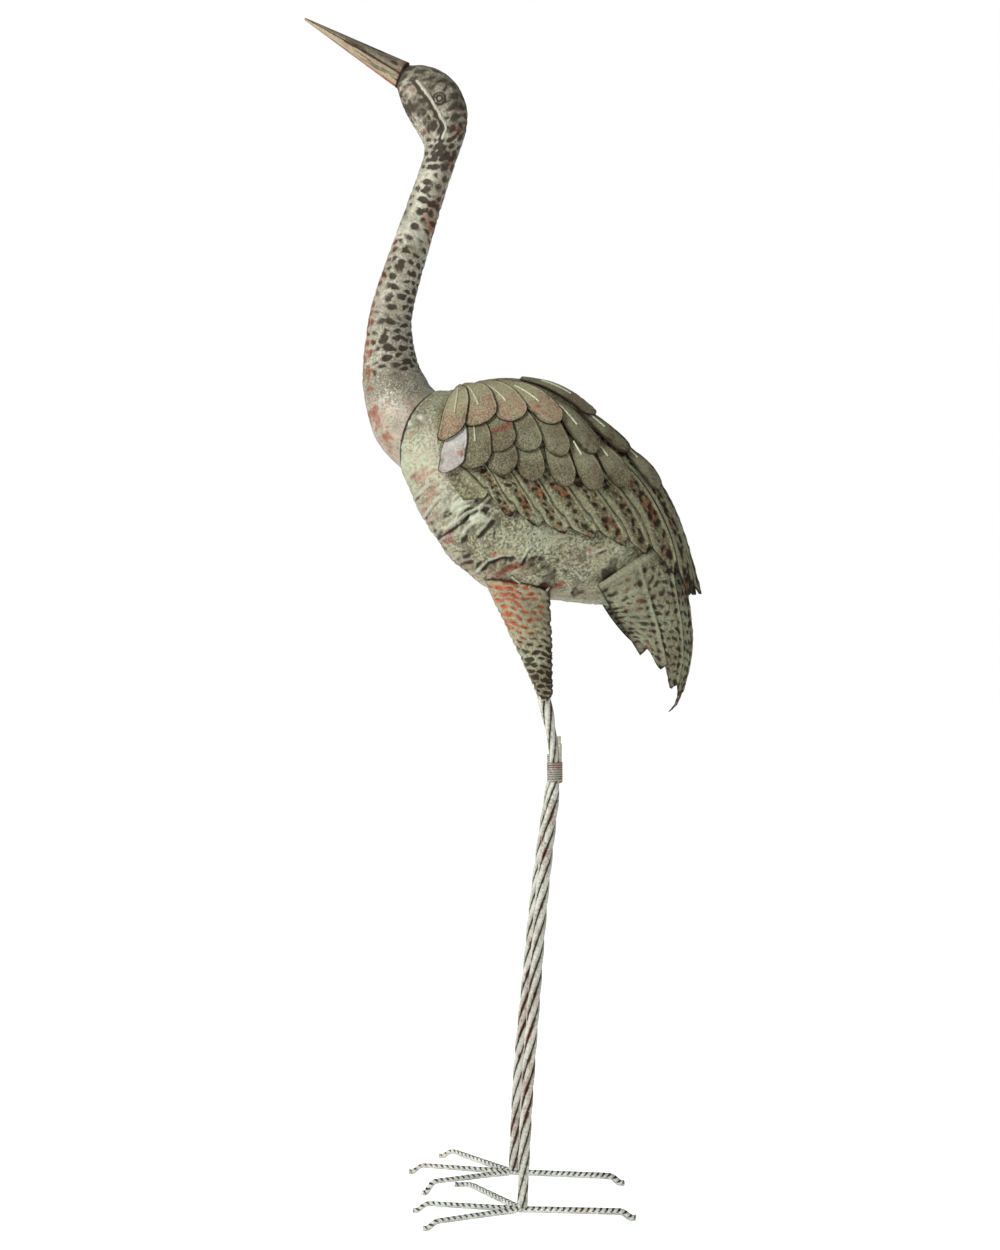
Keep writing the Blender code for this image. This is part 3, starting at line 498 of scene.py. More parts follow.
reach_s = np.linspace(END_SEARCH, BODY_END, 400)
beyond = (body_shell(reach_s[:, None], turns[None, :]) - keel_end) @ body_cut > 0
end_s = np.where(beyond.any(0), reach_s[beyond.argmax(0)], BODY_END)
body_s = front_s + (end_s - front_s) * np.linspace(0, 1, BODY_RINGS)[:, None]
body_turn = np.broadcast_to(turns, body_s.shape)
body = body_shell(body_s, body_turn)
body_out = outward_of(body)
seen = sight(body)

# Hammering, wrinkles and weld marks, where the photograph shows them
FOLD_LEAN = 40.0         # of the folds beaten into the breast, in degrees
FOLD_SIZE = (17.0, 5.6)
STROKE_SIZE = (15.0, 7.6)
WRINKLES = ((((448, 514), (457, 505), (467, 501), (476, 497)), 2.2),
            (((466, 514), (476, 508), (487, 506)), 2.4), (((450, 524), (459, 519), (466, 515)), 1.8),
            (((462, 536), (468, 527), (474, 521)), 2.6), (((478, 534), (486, 525), (492, 518)), 2.6),
            (((455, 497), (464, 490), (472, 491)), 1.8), (((486, 500), (491, 495)), 1.6),
            (((413, 500), (424, 489), (430, 484)), 1.5), (((424, 517), (432, 506), (440, 497)), 1.5),
            (((478, 571), (488, 561), (500, 556), (510, 556)), 1.8),
            (((562, 578), (568, 585), (571, 592)), 1.6), (((576, 572), (583, 581)), 1.6),
            (((596, 552), (606, 548)), 2.0), (((521, 563), (527, 551), (532, 546)), 1.7))
CREASE = ((437.6, 539.4), (449, 532), (463.5, 522.2), (466, 518), (468, 516))
STROKE_LEAN = 30.0       # of the hammer strokes on the breast, in degrees
WELD_BUMPS = ((411, 423.5, 3.2), (422, 417.6, 3.4), (489, 581.5, 3.0), (544, 594, 3.0))
BELLY_TOP = 470.0        # height in the photograph where the belly's deeper hollows begin
REAR_FROM = 500.0
BELLY_FADE = 60.0
# Ovals in the photograph: middle, half width, half height, lean in degrees, strength
FOLDED = ((470, 512, 24, 22, -20, 1.0), (430, 500, 18, 40, -20, 0.22))
STRUCK = ((424, 490, 24, 62, -22, 1.0), (470, 566, 44, 17, 24, 1.0))
KNOCKED = (530, 555, 62, 40, 10)
BREAST_SHEEN = ((424, 455, 22, 40, 0, 0.42), (450, 515, 26, 26, 0, 0.3))
BODY_RUST = ((424, 497, 17, 38, -20, 0.6), (415, 455, 10, 28, -10, 0.4), (488, 563, 26, 15, 10, 1.0),
             (540, 583, 17, 13, 10, 0.95), (515, 562, 16, 12, 0, 0.6), (585, 545, 18, 12, 0, 0.6),
             (452, 548, 14, 22, -30, 0.6), (575, 553, 8, 8, 0, 0.5), (430, 425, 14, 16, 0, 0.45),
             (563, 583, 10, 10, 0, 0.6))
BODY_PINK = ((432, 452, 18, 32, 0, 0.5), (455, 478, 20, 22, 0, 0.5), (478, 588, 28, 10, 0, 0.5),
             (500, 585, 26, 12, 0, 0.5), (548, 597, 30, 10, 0, 0.5), (425, 520, 12, 22, 0, 0.5))


def turned(place, lean, long, short):
    """Places of the photograph in lengths along and across a direction that leans upwards."""
    c, s = math.cos(math.radians(lean)), math.sin(math.radians(lean))
    return (place[..., 0] * c - place[..., 1] * s) / long, (place[..., 1] * c + place[..., 0] * s) / short


below = np.clip((seen[..., 1] - BELLY_TOP) / BELLY_FADE, 0, 1)
rear = np.clip((seen[..., 0] - REAR_FROM) / BELLY_FADE, 0, 1)
relief = 0.0008 * rough(body, 75.0, 3) + 0.00030 * rough(body, 330.0, 9, 2)
hollows = ease((rough(seen / 1000, 70.0, 21, 2) - 0.22) / 0.25) * (0.35 + 0.65 * below)
relief -= 0.0008 * hollows
body_marks = unpainted(hollows.shape)
# The dents are painted darker towards the rear: painted shade over the patina in the dents.
body_marks["dark"] += 0.50 * hollows * (0.4 + 0.6 * rear)
folds = lattice(np.stack(turned(seen, FOLD_LEAN, *FOLD_SIZE), -1)
                + 0.5 * rough(seen / 1000, 60.0, 35, 2)[..., None], 1.0, 37)
folded = np.clip(patches(seen, FOLDED), 0, 1) + 0.10 * below
relief += folded * (0.0030 * ease(1 - 2.6 * np.abs(folds - 0.1)) - 0.0012)
# Painted shade in the folds' troughs and a painted highlight along their crests.
body_marks["dark"] += (0.80 * folded * ease((-folds - 0.10) / 0.35)
                       * (0.75 + 0.9 * rough(body, 150.0, 38, 2)))
body_marks["pale"] += 0.75 * folded * ease(1 - 3.4 * np.abs(folds - 0.16))
# Each wrinkle gets a painted shadow just below its crest and a painted highlight on the crest.
for line, width in WRINKLES:
    line = np.array(line, float)
    crest = stroke(seen, line, width)
    foot = stroke(seen, line + (0.6, width * 1.15), width * 0.8)
    relief += 0.0016 * crest - 0.0014 * foot
    body_marks["dark"] += 0.75 * foot * (1 - crest * 0.6) * (0.8 + 0.8 * rough(body, 120.0, 39, 2))
    body_marks["pale"] += 0.55 * crest**2
relief -= 0.0011 * stroke(seen, CREASE, 1.5) - 0.0008 * stroke(seen, np.array(CREASE) - (1.5, 2.2), 1.8)
body_marks["dark"] += 1.0 * stroke(seen, CREASE, 1.2)
stroke_u, stroke_v = turned(seen, STROKE_LEAN, *STROKE_SIZE)
warp = rough(body, 42.0, 23, 2)
strokes = dashes(stroke_u + 0.35 * warp, stroke_v * 1.05 + 0.4 * warp, 0.46, 0.26, 25)
knocks = dashes(stroke_u * 1.25 + 0.5 * warp, stroke_v * 1.1 + 0.5 * warp, 0.36, 0.30, 27)
knocks *= ease(0.5 + rough(body, 55.0, 29, 2))
strokes *= np.clip(patches(seen, STRUCK), 0, 1)
under = patch(seen, *KNOCKED)
knocks *= under
relief -= 0.0007 * strokes + 0.0007 * knocks
body_marks["rust"] += 1.05 * strokes * (0.75 + 0.7 * warp)
body_marks["dark"] += 0.62 * strokes * ease(0.5 - warp)
body_marks["dark"] += 0.62 * knocks * (0.7 + 0.8 * warp) + 0.10 * under
body_marks["pale"] += patches(seen, BREAST_SHEEN)
for x, y, size in WELD_BUMPS:
    bump = patch(seen, x, y, size, size)
    relief += 0.0020 * bump
    body_marks["pale"] += 0.7 * bump**2
    body_marks["dark"] += 0.9 * (patch(seen, x, y, size * 1.7, size * 1.7) - bump)
streaks = ease((rough(np.stack([seen[..., 0] * 0.5 + seen[..., 1] * 0.85,
                                (seen[..., 0] * 0.85 - seen[..., 1] * 0.5) * 0.28], -1) / 1000,
                      135.0, 31, 3) - 0.05) / 0.30)
body_marks["rust"] += streaks * patches(seen, BODY_RUST)
body_marks["pink"] += patches(seen, BODY_PINK)
underline = np.exp(-((np.abs(body_turn - math.pi) * 0.05) / 0.004) ** 2)
body_marks["rust"] += 0.35 * underline
body_marks["dark"] += np.exp(-((body_s - front_s) / 0.0012) ** 2)
lip = np.exp(-((body_s - front_s - 0.0020) / 0.0016) ** 2)
relief += 0.0006 * lip
relief *= ease((body_s - front_s) / 0.0012) * ease((end_s - body_s) / 0.004 + 0.2)
body_marks["dark"] += 0.26 * ease(-relief / 0.0022)
body_marks["pale"] += 0.20 * ease(relief / 0.0012)
body = body + body_out * relief[..., None]
joint_middle = from_breast((0, 0)) + UP * ((curve(BACK_LINE, BREAST_EDGE)
                                            + curve(KEEL_LINE, BREAST_EDGE)) / 2)
body_ends = [joint_middle + AXIS * (BREAST_EDGE + JOINT_GAP / 2), body[-1].mean(0)]
body_points = np.concatenate([body.reshape(-1, 3), body_ends])
body_marks = with_hubs(body_marks, body_s.shape)
body_marks["dark"][-1] = HOLLOW_END_DARK
make_piece("body_shell", body_points, tube_faces(BODY_RINGS, BODY_SIDES), patina(
    "body_patina", (122, 118, 92), (146, 149, 122), (65, 57, 38), (26, 20, 10),
    rust=(148, 78, 60), pink=(176, 142, 130), bright=(182, 186, 164), grain=430.0,
    speckle=0.75, blotch=0.5, gloss=0.5, metallic=0.12, bump=0.7),
    ["body"], body_marks)


# Head and neck
# One tube of sheet iron, seamed along the throat and hammered with rows of round
# dents. The head is pressed flat at the cheeks, with a raised cheek edge and a
# ringed eye on each side, and the tube is welded to the body at the breast.
THROAT_LINE = ((-0.0188, 0.3256), (-0.0169, 0.3189), (-0.0140, 0.3104), (-0.0093, 0.2999),
               (-0.0045, 0.2914), (0.0012, 0.2819), (0.0064, 0.2719), (0.0069, 0.2657),
               (0.0045, 0.2535), (-0.0055, 0.2258), (-0.0273, 0.1660), (-0.0392, 0.1318),
               (-0.0468, 0.1004), (-0.0515, 0.0482), (-0.0435, 0.0045), (-0.0321, -0.0183))
NAPE_LINE = ((-0.0074, 0.3465), (0.0069, 0.3461), (0.0235, 0.3408), (0.0373, 0.3294),
             (0.0449, 0.3161), (0.0482, 0.3028), (0.0477, 0.2885), (0.0444, 0.2752),
             (0.0391, 0.2601), (0.0245, 0.2154), (0.0069, 0.1546), (-0.0018, 0.1213),
             (-0.0045, 0.0961), (0.0012, 0.0653), (0.0097, 0.0482), (0.0126, 0.0425))
NECK_SHARE = (0.90, 0.86, 0.78, 0.76, 0.76, 0.78, 0.82, 0.88, 0.93, 0.96, 0.98, 0.98,
              0.98, 0.99, 1.00, 1.00)
NECK_REVEAL = 0.0013
JOIN_START = 0.80
NECK_RINGS = 440
NECK_SIDES = 132
EYE_PIXEL = (439.4, 98.6)
EYE_PIXELS = 4.6
THROAT_SHEEN = (431, 175, 9, 42, 16)
CLEAR_ABOUT_EYE = 6.0
# Ovals in the photograph: middle, half width, half height, lean in degrees, strength
NECK_RUST = ((377, 410, 7, 12, 0, 0.62), (392, 452, 12, 20, 0, 0.5), (384, 433, 8, 16, 0, 0.45),
             (430, 225, 9, 26, 0, 0.55), (408, 402, 14, 7, 0, 0.55), (369, 352, 4, 3, 0, 0.9),
             (370, 371, 5, 2.5, 0, 0.9), (370, 388, 4, 3, 0, 0.7), (400, 97, 4, 4, 0, 0.95),
             (402, 107, 4, 4, 0, 0.9), (405, 118, 4, 4, 0, 0.9), (409, 129, 4, 5, 0, 0.8),
             (425, 133, 6, 5, 0, 0.6), (416, 150, 5, 6, 0, 0.5))
CHEEK_PINK = ((411, 92, 9, 9, 0, 1.2), (430, 122, 10, 8, 0, 0.5))
CHEEK_DARK = (419, 112, 7, 9)
CHEEK_LIGHT = (411, 93, 5, 6)
JAW_DARK = ((431, 126, 8, 9, 0, 0.8), (408, 108, 5, 4, 0, 0.6))
NAPE_STRIPES = 7
STRIPE_TOP = 88.0
STRIPE_PITCH = 6.6
STRIPE_X = (455, 462, 469)
NAPE_SPOTS = (428.0, 140.0)  # first of five rows of four, below the head
SPOT_PITCH = (7.2, 6.6)
DENT_ROWS = 20
CHEEK_PIXELS = ((417, 81), (432, 100.5), (439.5, 114), (445, 124), (446, 128.5), (442.3, 138.5))
DENT_SPACING = 0.0119
FIRST_DENT = 0.072
DENT_TURN = 97
DENT_SIZE = (0.0030, 0.0042)

turns = np.linspace(0, 2 * math.pi, NECK_SIDES, endpoint=False)
joint = section(BREAST_EDGE - BREAST_BULGE * np.sin(turns) ** 2 - JOINT_GAP / 2, turns,
                BODY_INSET + NECK_REVEAL)
throat_line = np.vstack([from_breast(THROAT_LINE), joint[NECK_SIDES // 2]])
nape_line = np.vstack([from_breast(NAPE_LINE), joint[0]])
shares = np.linspace(0, 1, 1200)
middle = (along(throat_line, shares) + along(nape_line, shares)) / 2
walked = np.append(0, np.cumsum(np.linalg.norm(np.diff(middle, axis=0), axis=-1)))
neck_length = np.linspace(0, walked[-1], NECK_RINGS)
u = np.interp(neck_length, walked, shares)


def neck_rings(u):
    """Rings of the tube between throat and nape at shares u of its length."""
    throat, nape = along(throat_line, u), along(nape_line, u)
    half = (nape - throat) / 2
    share = curve(list(zip(np.linspace(0, 1, len(NECK_SHARE) + 1), NECK_SHARE + (1.0,))), u)
    aside = np.linalg.norm(half, axis=-1) * share
    ring = ((throat + nape) / 2)[:, None] + half[:, None] * np.cos(turns)[None, :, None]
    ring[..., 1] -= aside[:, None] * np.sin(turns)
    return ring


carry = ease((u - JOIN_START) / (1 - JOIN_START))
neck = neck_rings(u) + (joint - neck_rings(np.array([1.0])))[0] * carry[:, None, None]
neck_out = outward_of(neck)
seen = sight(neck)
run = np.broadcast_to(neck_length[:, None], seen.shape[:-1])
turn_aside = np.degrees(np.arccos(np.cos(turns)))[None, :] * np.ones_like(run)
girth = np.linalg.norm(neck - neck.mean(1, keepdims=True), axis=-1)
relief = 0.00018 * rough(neck, 120.0, 5) + 0.00010 * rough(neck, 380.0, 6, 2)
neck_marks = unpainted(run.shape)
wobble = rough(neck, 60.0, 41, 2)
arc = np.radians(turn_aside) * girth
for row in range(DENT_ROWS):
    jitter = lattice(np.array([row * 1.7, 2.3]), 1.0, 51)
    away = (run - FIRST_DENT - (row + 0.30 * jitter) * DENT_SPACING) / DENT_SIZE[0]
    around = np.radians(turn_aside - DENT_TURN - 9 * jitter) * girth / DENT_SIZE[1]
    spot = np.exp(-(away**2 + around**2) ** 1.3) * ease((0.345 - run) / 0.02)
    relief -= 0.0008 * spot
    neck_marks["dark"] += 0.75 * spot * (0.9 + 0.4 * wobble)
warp = rough(neck, 75.0, 43, 2)
mottle = dashes(arc / 0.0118 + 0.5 * warp, run / 0.0086 + 0.45 * wobble, 0.46, 0.36, 45)
mottle *= ease((run - 0.11) / 0.04) * ease((0.335 - run) / 0.03)
cells = dashes(arc / 0.0098 + 0.25 * warp, run / 0.0086 + 0.25 * wobble, 0.42, 0.40, 47)
cells *= ease((0.150 - run) / 0.04)
relief -= 0.0007 * mottle + 0.0005 * cells
# rear_dark is the back of the upper neck and head. The dark laid on it through upper_nape, like the
# mottling's extra dark towards the back, is painted shade; the rust laid on it is rust.
rear_dark = ease((seen[..., 0] - 432 - 0.25 * (150 - seen[..., 1])) / 16)
head_part = ease((0.060 - run) / 0.02)
neck_marks["dark"] += mottle * (0.32 + 0.75 * wobble + 0.25 * ease((110 - turn_aside) / 60))
aside_cells = 1 - 0.6 * ease((turn_aside - 112) / 15) * (1 - head_part)
neck_marks["dark"] += cells * (0.44 + 0.4 * wobble + 0.08 * head_part) * aside_cells
neck_marks["dark"] += 0.30 * head_part * ease(0.4 + 1.5 * rough(neck, 260.0, 49, 3))
upper_nape = rear_dark * ease((0.17 - run) / 0.05)
neck_marks["dark"] += (0.36 * head_part + 0.26 * upper_nape) * (1 + 0.9 * warp)
rusty_nape = rear_dark * ease((0.18 - run) / 0.05) * ease((run - 0.05) / 0.03)
neck_marks["rust"] += 0.50 * rusty_nape * (0.7 + warp)
front_edge = ease((turn_aside - 118) / 25) * ease((run - 0.15) / 0.05)
neck_marks["rust"] += 0.7 * mottle * front_edge + 0.35 * front_edge * ease(warp * 3)
neck_marks["rust"] += 0.30 * ease(0.3 + 1.6 * wobble) * ease((0.36 - run) / 0.06)
seam = np.exp(-((turn_aside - 146) / 180 * math.pi * girth / 0.0009) ** 2)
seam *= ease((run - 0.075) / 0.01) * ease((0.26 - run) / 0.02)
relief += 0.0005 * seam
neck_marks["dark"] += 0.5 * np.roll(seam, 1, axis=1)
low_neck = ease((seen[..., 1] - 392) / 14)
neck_marks["pink"] += 0.5 * low_neck
neck_marks["rust"] += patches(seen, NECK_RUST)
neck_marks["pink"] += patches(seen, CHEEK_PINK)
neck_marks["dark"] += 0.75 * patch(seen, *CHEEK_DARK) * (0.6 + wobble)
for stripe in range(NAPE_STRIPES):
    y = STRIPE_TOP + STRIPE_PITCH * stripe
    lean = (stripe - 2.5) * 1.2
    bar = tuple(zip(STRIPE_X, (y + 1, y + lean * 0.6, y + lean)))
    neck_marks["dark"] += 0.9 * stroke(seen, bar, 1.5)
for row in range(5):
    for column in range(4):
        x = NAPE_SPOTS[0] + SPOT_PITCH[0] * column + 3.4 * (row % 2) - 1.2 * row
        spot = patch(seen, x, NAPE_SPOTS[1] + SPOT_PITCH[1] * row, 2.4, 2.0)
        relief -= 0.0005 * spot
        neck_marks["dark"] += 0.8 * spot
neck_marks["dark"] = np.minimum(neck_marks["dark"], 0.66 - 0.06 * head_part)
neck_marks["dark"] *= 1 - 0.8 * patch(seen, *EYE_PIXEL, CLEAR_ABOUT_EYE, CLEAR_ABOUT_EYE)
neck_marks["pale"] += 0.8 * patch(seen, *THROAT_SHEEN)
neck_marks["dark"] *= 1 - 0.5 * patch(seen, *CHEEK_LIGHT)
neck_marks["dark"] += patches(seen, JAW_DARK)
cheek = stroke(seen, CHEEK_PIXELS, 0.95)
# In front of the raised cheek edge a shallow groove is pressed and painted dark as a painted shadow.
cheek_foot = 0.7 * stroke(seen, np.array(CHEEK_PIXELS) + (-3.0, 1.4), 1.5)
relief += 0.0009 * cheek - 0.0008 * cheek_foot
neck_marks["pale"] += 0.8 * cheek
neck_marks["dark"] += 0.9 * cheek_foot
neck_marks["dark"] *= 1 - cheek**0.5
from_eye = np.linalg.norm(seen - EYE_PIXEL, axis=-1) / EYE_PIXELS
relief += 0.0014 * np.exp(-((from_eye - 0.85) / 0.28) ** 2) + 0.0009 * np.exp(-(from_eye / 0.5) ** 2)
neck_marks["dark"] += 1.0 * np.exp(-((from_eye - 1.25) / 0.20) ** 2)
neck_marks["dark"] += 1.0 * np.exp(-((from_eye - 0.60) / 0.26) ** 2)
neck_marks["pink"] += 0.5 * np.exp(-(from_eye / 0.30) ** 2)
neck_marks["dark"] += np.exp(-(run / 0.0014) ** 2)
neck_marks["dark"] += 1.2 * np.exp(-((neck_length[-1] - run) / 0.0014) ** 2)
# Painted shade on the back of the lower neck.
neck_marks["dark"] += 0.35 * ease((60 - turn_aside) / 60) * ease((run - 0.30) / 0.05)
relief *= ease(run / 0.003) * ease((neck_length[-1] - run) / 0.002)
neck_marks["dark"] += 0.30 * ease(-relief / 0.0008)
neck_marks["pale"] += 0.15 * ease(relief / 0.0005)
neck = neck + neck_out * relief[..., None]
neck_ends = [neck[0].mean(0), joint_middle + AXIS * (BREAST_EDGE - JOINT_GAP / 2)]
neck_points = np.concatenate([neck.reshape(-1, 3), neck_ends])
make_piece("head_and_neck_shell", neck_points, tube_faces(NECK_RINGS, NECK_SIDES), patina(
    "neck_patina", (132, 129, 112), (164, 163, 146), (80, 70, 54), (46, 37, 26),
    rust=(142, 84, 56), pink=(168, 138, 122), grain=520.0, speckle=0.6, blotch=0.25,
    gloss=0.46, metallic=0.15, bump=0.45),
    ["head_and_neck"], with_hubs(neck_marks, run.shape))


# Beak
# Two long tapering sheets closed over each other, parted by the gape line and pushed
# into the front of the head. The upper half is painted dark as painted shade and the lower half pale as
# painted light.
BEAK_ROOT = ((-0.0193, 0.3257), (-0.0068, 0.3488))
BEAK_TIP = (-0.1062, 0.3911)
BEAK_TIP_WIDTH = 0.0022
BEAK_GAPE = 0.86
GAPE_TURN = (100, 90)     # from the ridge, at the root and at the tip, in degrees
BEAK_RINGS = 150
BEAK_SIDES = 72
root_low, root_high = from_breast(BEAK_ROOT[0]), from_breast(BEAK_ROOT[1])
root_middle = (root_low + root_high) / 2
beak_half = (root_high - root_low) / 2
turns = np.linspace(0, 2 * math.pi, BEAK_SIDES, endpoint=False)[None, :]
u = np.linspace(0, 1, BEAK_RINGS)[:, None]
size = 1 + (BEAK_TIP_WIDTH / 2 / np.linalg.norm(beak_half) - 1) * u
turn_aside = np.degrees(np.arccos(np.cos(turns)))
gape = turn_aside - (GAPE_TURN[0] + (GAPE_TURN[1] - GAPE_TURN[0]) * u)
pinch = 1 - (1 - BEAK_GAPE) * (1 - u) * np.exp(-(gape / 13.0) ** 2)
beak = (root_middle + (from_breast(BEAK_TIP) - root_middle) * u[..., None]
        + beak_half * (size * np.cos(turns))[..., None])
beak = beak * np.ones(turns.shape)[..., None]
beak[..., 1] -= np.linalg.norm(beak_half) * NECK_SHARE[0] * np.sin(turns) * size * pinch
beak_out = outward_of(beak)
beak += beak_out * (0.00010 * rough(beak, 160.0, 7) * ease((1 - u) * 8) * size)[..., None]
# lower is the beak's underside: painted pale as lit, while the upper half gets painted shade.
lower = ease((gape - 2) / 6) * np.ones_like(u)
drawn = np.stack([np.radians(turn_aside) * 3.2 + 0 * u, u * 4.5 + 0 * turns], -1)
streaks = rough(drawn, 1.6, 65, 3)
beak_marks = {
    "dark": 0.9 * np.exp(-(gape / 4.0) ** 2) * ease((1 - u) * 20) + 1.1 * np.exp(-(u / 0.014) ** 2)
            + 0.75 * np.exp(-(turn_aside / 16.0) ** 2) + 0.45 * ease(streaks * 2.2 - 0.1)
            + 0.34 * (1 - lower),
    "pale": lower * (0.75 - 0.5 * ease((turn_aside - 150) / 20)) * ease(0.8 - streaks * 1.6),
    "rust": 0.85 * ease((turn_aside - 148) / 18)
            + 1.3 * np.exp(-((gape - 7) / 6.0) ** 2) * ease(0.6 + streaks)
            + 0.5 * np.exp(-(u / 0.10) ** 2) + 0.25 * ease(-streaks * 2),
    "pink": (1 - lower) * 0.5 * ease(rough(beak, 60.0, 63, 2) + 0.4)}
beak_points = np.concatenate([beak.reshape(-1, 3), [beak[0].mean(0), beak[-1].mean(0)]])
make_piece("beak_sheet", beak_points, tube_faces(BEAK_RINGS, BEAK_SIDES), patina(
    "beak_patina", (96, 88, 72), (118, 110, 90), (74, 62, 46), (28, 21, 15),
    rust=(156, 82, 54), pink=(122, 98, 88), bright=(164, 150, 122), grain=520.0,
    speckle=0.6, blotch=0.3, gloss=0.44, metallic=0.15, bump=0.5),
    ["beak"], with_hubs(beak_marks, beak.shape[:2]))


# Wings
# Each wing is one curved sheet cut into ten flight feathers. A rib is pressed
# along every boundary, the middle of each feather is hammered, and the tips are
# cut to tongues that stand a little off the body.
SHEET = 0.0010
SHOULDER = (0.020, 0.010)
WING_START = 0.016
FLIGHT_TIPS = ((24.4, 0.164), (31.8, 0.1835), (39.6, 0.193), (46.9, 0.201), (55.2, 0.210),
               (63.7, 0.224), (70.3, 0.236), (78.4, 0.257), (83.8, 0.276), (87.9, 0.284))
WING_FRONT = ((0.016, -8.0), (0.041, -8.0), (0.072, 3.0), (0.106, 9.3), (0.142, 15.5))
WING_FRONT_TURN = 19.0
WING_END_TURN = 88.8
WING_CLEAR = 0.0019
TIP_ROUNDING = 0.009
TIP_LIFT = 0.0025
FLUTE = 0.0012
RIDGE_CLEAR = 0.003
NOTCH = 0.0052           # how far the sheet is cut back behind each tip
TIP_HALF = 0.0042
FEATHER_LEAN = ((19, 0.55), (35, 0.52), (50, 0.42), (65, 0.30), (80, 0.12), (89, 0.0))
WING_COLUMNS = 250
WING_ROWS = 130

grid_s = np.linspace(-0.01, 0.325, 200)
grid_turn = np.linspace(0, math.pi, 181)
grid_g = np.linspace(0, 0.36, 361)
flank_rings = section(grid_s[:, None], np.broadcast_to(grid_turn, (200, 181)))
flank_walk = np.cumsum(np.linalg.norm(np.diff(flank_rings, axis=1), axis=-1), axis=1)
turn_of = np.array([np.interp(grid_g, np.append(0, row), grid_turn) for row in flank_walk])


def flank(s, g, offset):
    """Point on the left flank: g is the distance down the section from the ridge."""
    row = np.clip((s - grid_s[0]) / (grid_s[1] - grid_s[0]), 0, 198.999)
    column = np.clip(g / (grid_g[1] - grid_g[0]), 0, 359.999)
    i, j = row.astype(int), column.astype(int)
    a, b = row - i, column - j
    turn = ((turn_of[i, j] * (1 - b) + turn_of[i, j + 1] * b) * (1 - a)
            + (turn_of[i + 1, j] * (1 - b) + turn_of[i + 1, j + 1] * b) * a)
    down = section(s, turn + 0.02) - section(s, turn - 0.02)
    rear = section(s + 0.002, turn) - section(s - 0.002, turn)
    outward = unit(np.cross(down, rear))
    outward *= -np.sign(outward[..., 1:2])
    return section(s, turn) + outward * np.asarray(offset)[..., None]


def fan(angle, radius, offset):
    """Point of the left wing in polar measure about the shoulder."""
    s = SHOULDER[0] + radius * np.sin(np.radians(angle))
    g = SHOULDER[1] + radius * np.cos(np.radians(angle))
    return flank(s, np.maximum(g, RIDGE_CLEAR), offset)


def flight_outline(angle):
    """The plain outline of the wing, on which the leaves' heights rest."""
    tips = [radius - (np.radians(angle - turn) * radius) ** 2 / (2 * TIP_ROUNDING)
            for turn, radius in FLIGHT_TIPS]
    return np.max(tips, axis=0)


def cut_outline(angle):
    """The wing's cut edge: long slanted edges that end in tongues, a notch behind each."""
    knots, reaches = [0.0], [FLIGHT_TIPS[0][1] - 0.014]
    for turn, radius in FLIGHT_TIPS:
        knots += [turn - math.degrees(TIP_HALF / radius), turn + math.degrees(TIP_HALF / radius)]
        reaches += [radius - 0.0012, radius - NOTCH]
    edge = np.interp(angle, knots, reaches)
    for turn, radius in FLIGHT_TIPS:
        aside = np.radians(angle - turn) * radius
        edge = np.maximum(edge, radius - aside**2 / (2 * 0.55 * TIP_HALF))
    return edge


def plate_faces(rows, columns):
    """Faces of a closed sheet between two grids of points."""
    a = (np.arange(rows - 1)[:, None] * columns + np.arange(columns - 1)).ravel()
    upper = np.stack([a, a + 1, a + columns + 1, a + columns], -1)
    lower = upper[:, ::-1] + rows * columns
    rim = [r * columns for r in range(rows)] + [(rows - 1) * columns + c for c in range(1, columns)]
    rim += [r * columns + columns - 1 for r in range(rows - 2, -1, -1)]
    rim += list(range(columns - 2, 0, -1))
    half = rows * columns
    sides = [(a, b, half + b, half + a) for a, b in zip(rim, rim[1:] + rim[:1])]
    return upper.tolist() + lower.tolist() + sides


def facing_out(points, faces):
    """The faces, turned so that the closed mesh holds a positive volume."""
    corners = np.array([(f[0], f[i], f[i + 1]) for f in faces for i in range(1, len(f) - 1)])
    a, b, c = (points[corners[:, k]] for k in range(3))
    volume = np.einsum("ij,ij->i", a, np.cross(b, c)).sum()
    return faces if volume > 0 else [tuple(f)[::-1] for f in faces]


def both_sides(name, points, faces, material, node, marks):
    """The piece on the left and its mirror image on the right."""
    faces = facing_out(points, faces)
    make_piece("left_" + name, points, faces, material, ["left_" + node], marks)
    make_piece("right_" + name, points * (1, -1, 1), [tuple(f)[::-1] for f in faces], material,
               ["right_" + node], marks)


share = np.linspace(0, 1, WING_ROWS)[None, :] ** 0.8
main_turns = np.linspace(WING_FRONT_TURN, WING_END_TURN, WING_COLUMNS)[:, None]
front_share = np.linspace(0, 1, 9)[:-1, None]
front_radius = WING_START + (WING_FRONT[-1][0] - WING_START) * share
edge_turn = curve(WING_FRONT, front_radius)
first_radius = WING_START + (cut_outline(main_turns[:1]) - WING_START) * share
front_turn = edge_turn + (WING_FRONT_TURN - edge_turn) * front_share
radius = np.vstack([front_radius + (first_radius - front_radius) * front_share,
                    WING_START + (cut_outline(main_turns) - WING_START) * share])
turn = np.vstack([front_turn, main_turns * np.ones_like(share)])
rise = TIP_LIFT * np.minimum(radius / flight_outline(np.maximum(turn, FLIGHT_TIPS[0][0])), 1) ** 6
bounds_turn = [-8.0] + [t + math.degrees((TIP_HALF + 0.0012) / r) for t, r in FLIGHT_TIPS]
lean = np.interp(turn, *np.array(FEATHER_LEAN).T) * (cut_outline(turn) - radius) / radius
feather = np.interp(turn + np.degrees(lean), bounds_turn, range(len(bounds_turn)))
across = feather - np.floor(feather)
spacing = np.radians(7.4) * radius
to_rib = np.minimum(across, 1 - across) * spacing
outer_part = ease((radius - 0.095) / 0.03)
rib = np.exp(-(to_rib / 0.0012) ** 2) * outer_part * (feather > 0.4)
plain = fan(turn, radius, WING_CLEAR + SHEET + rise)
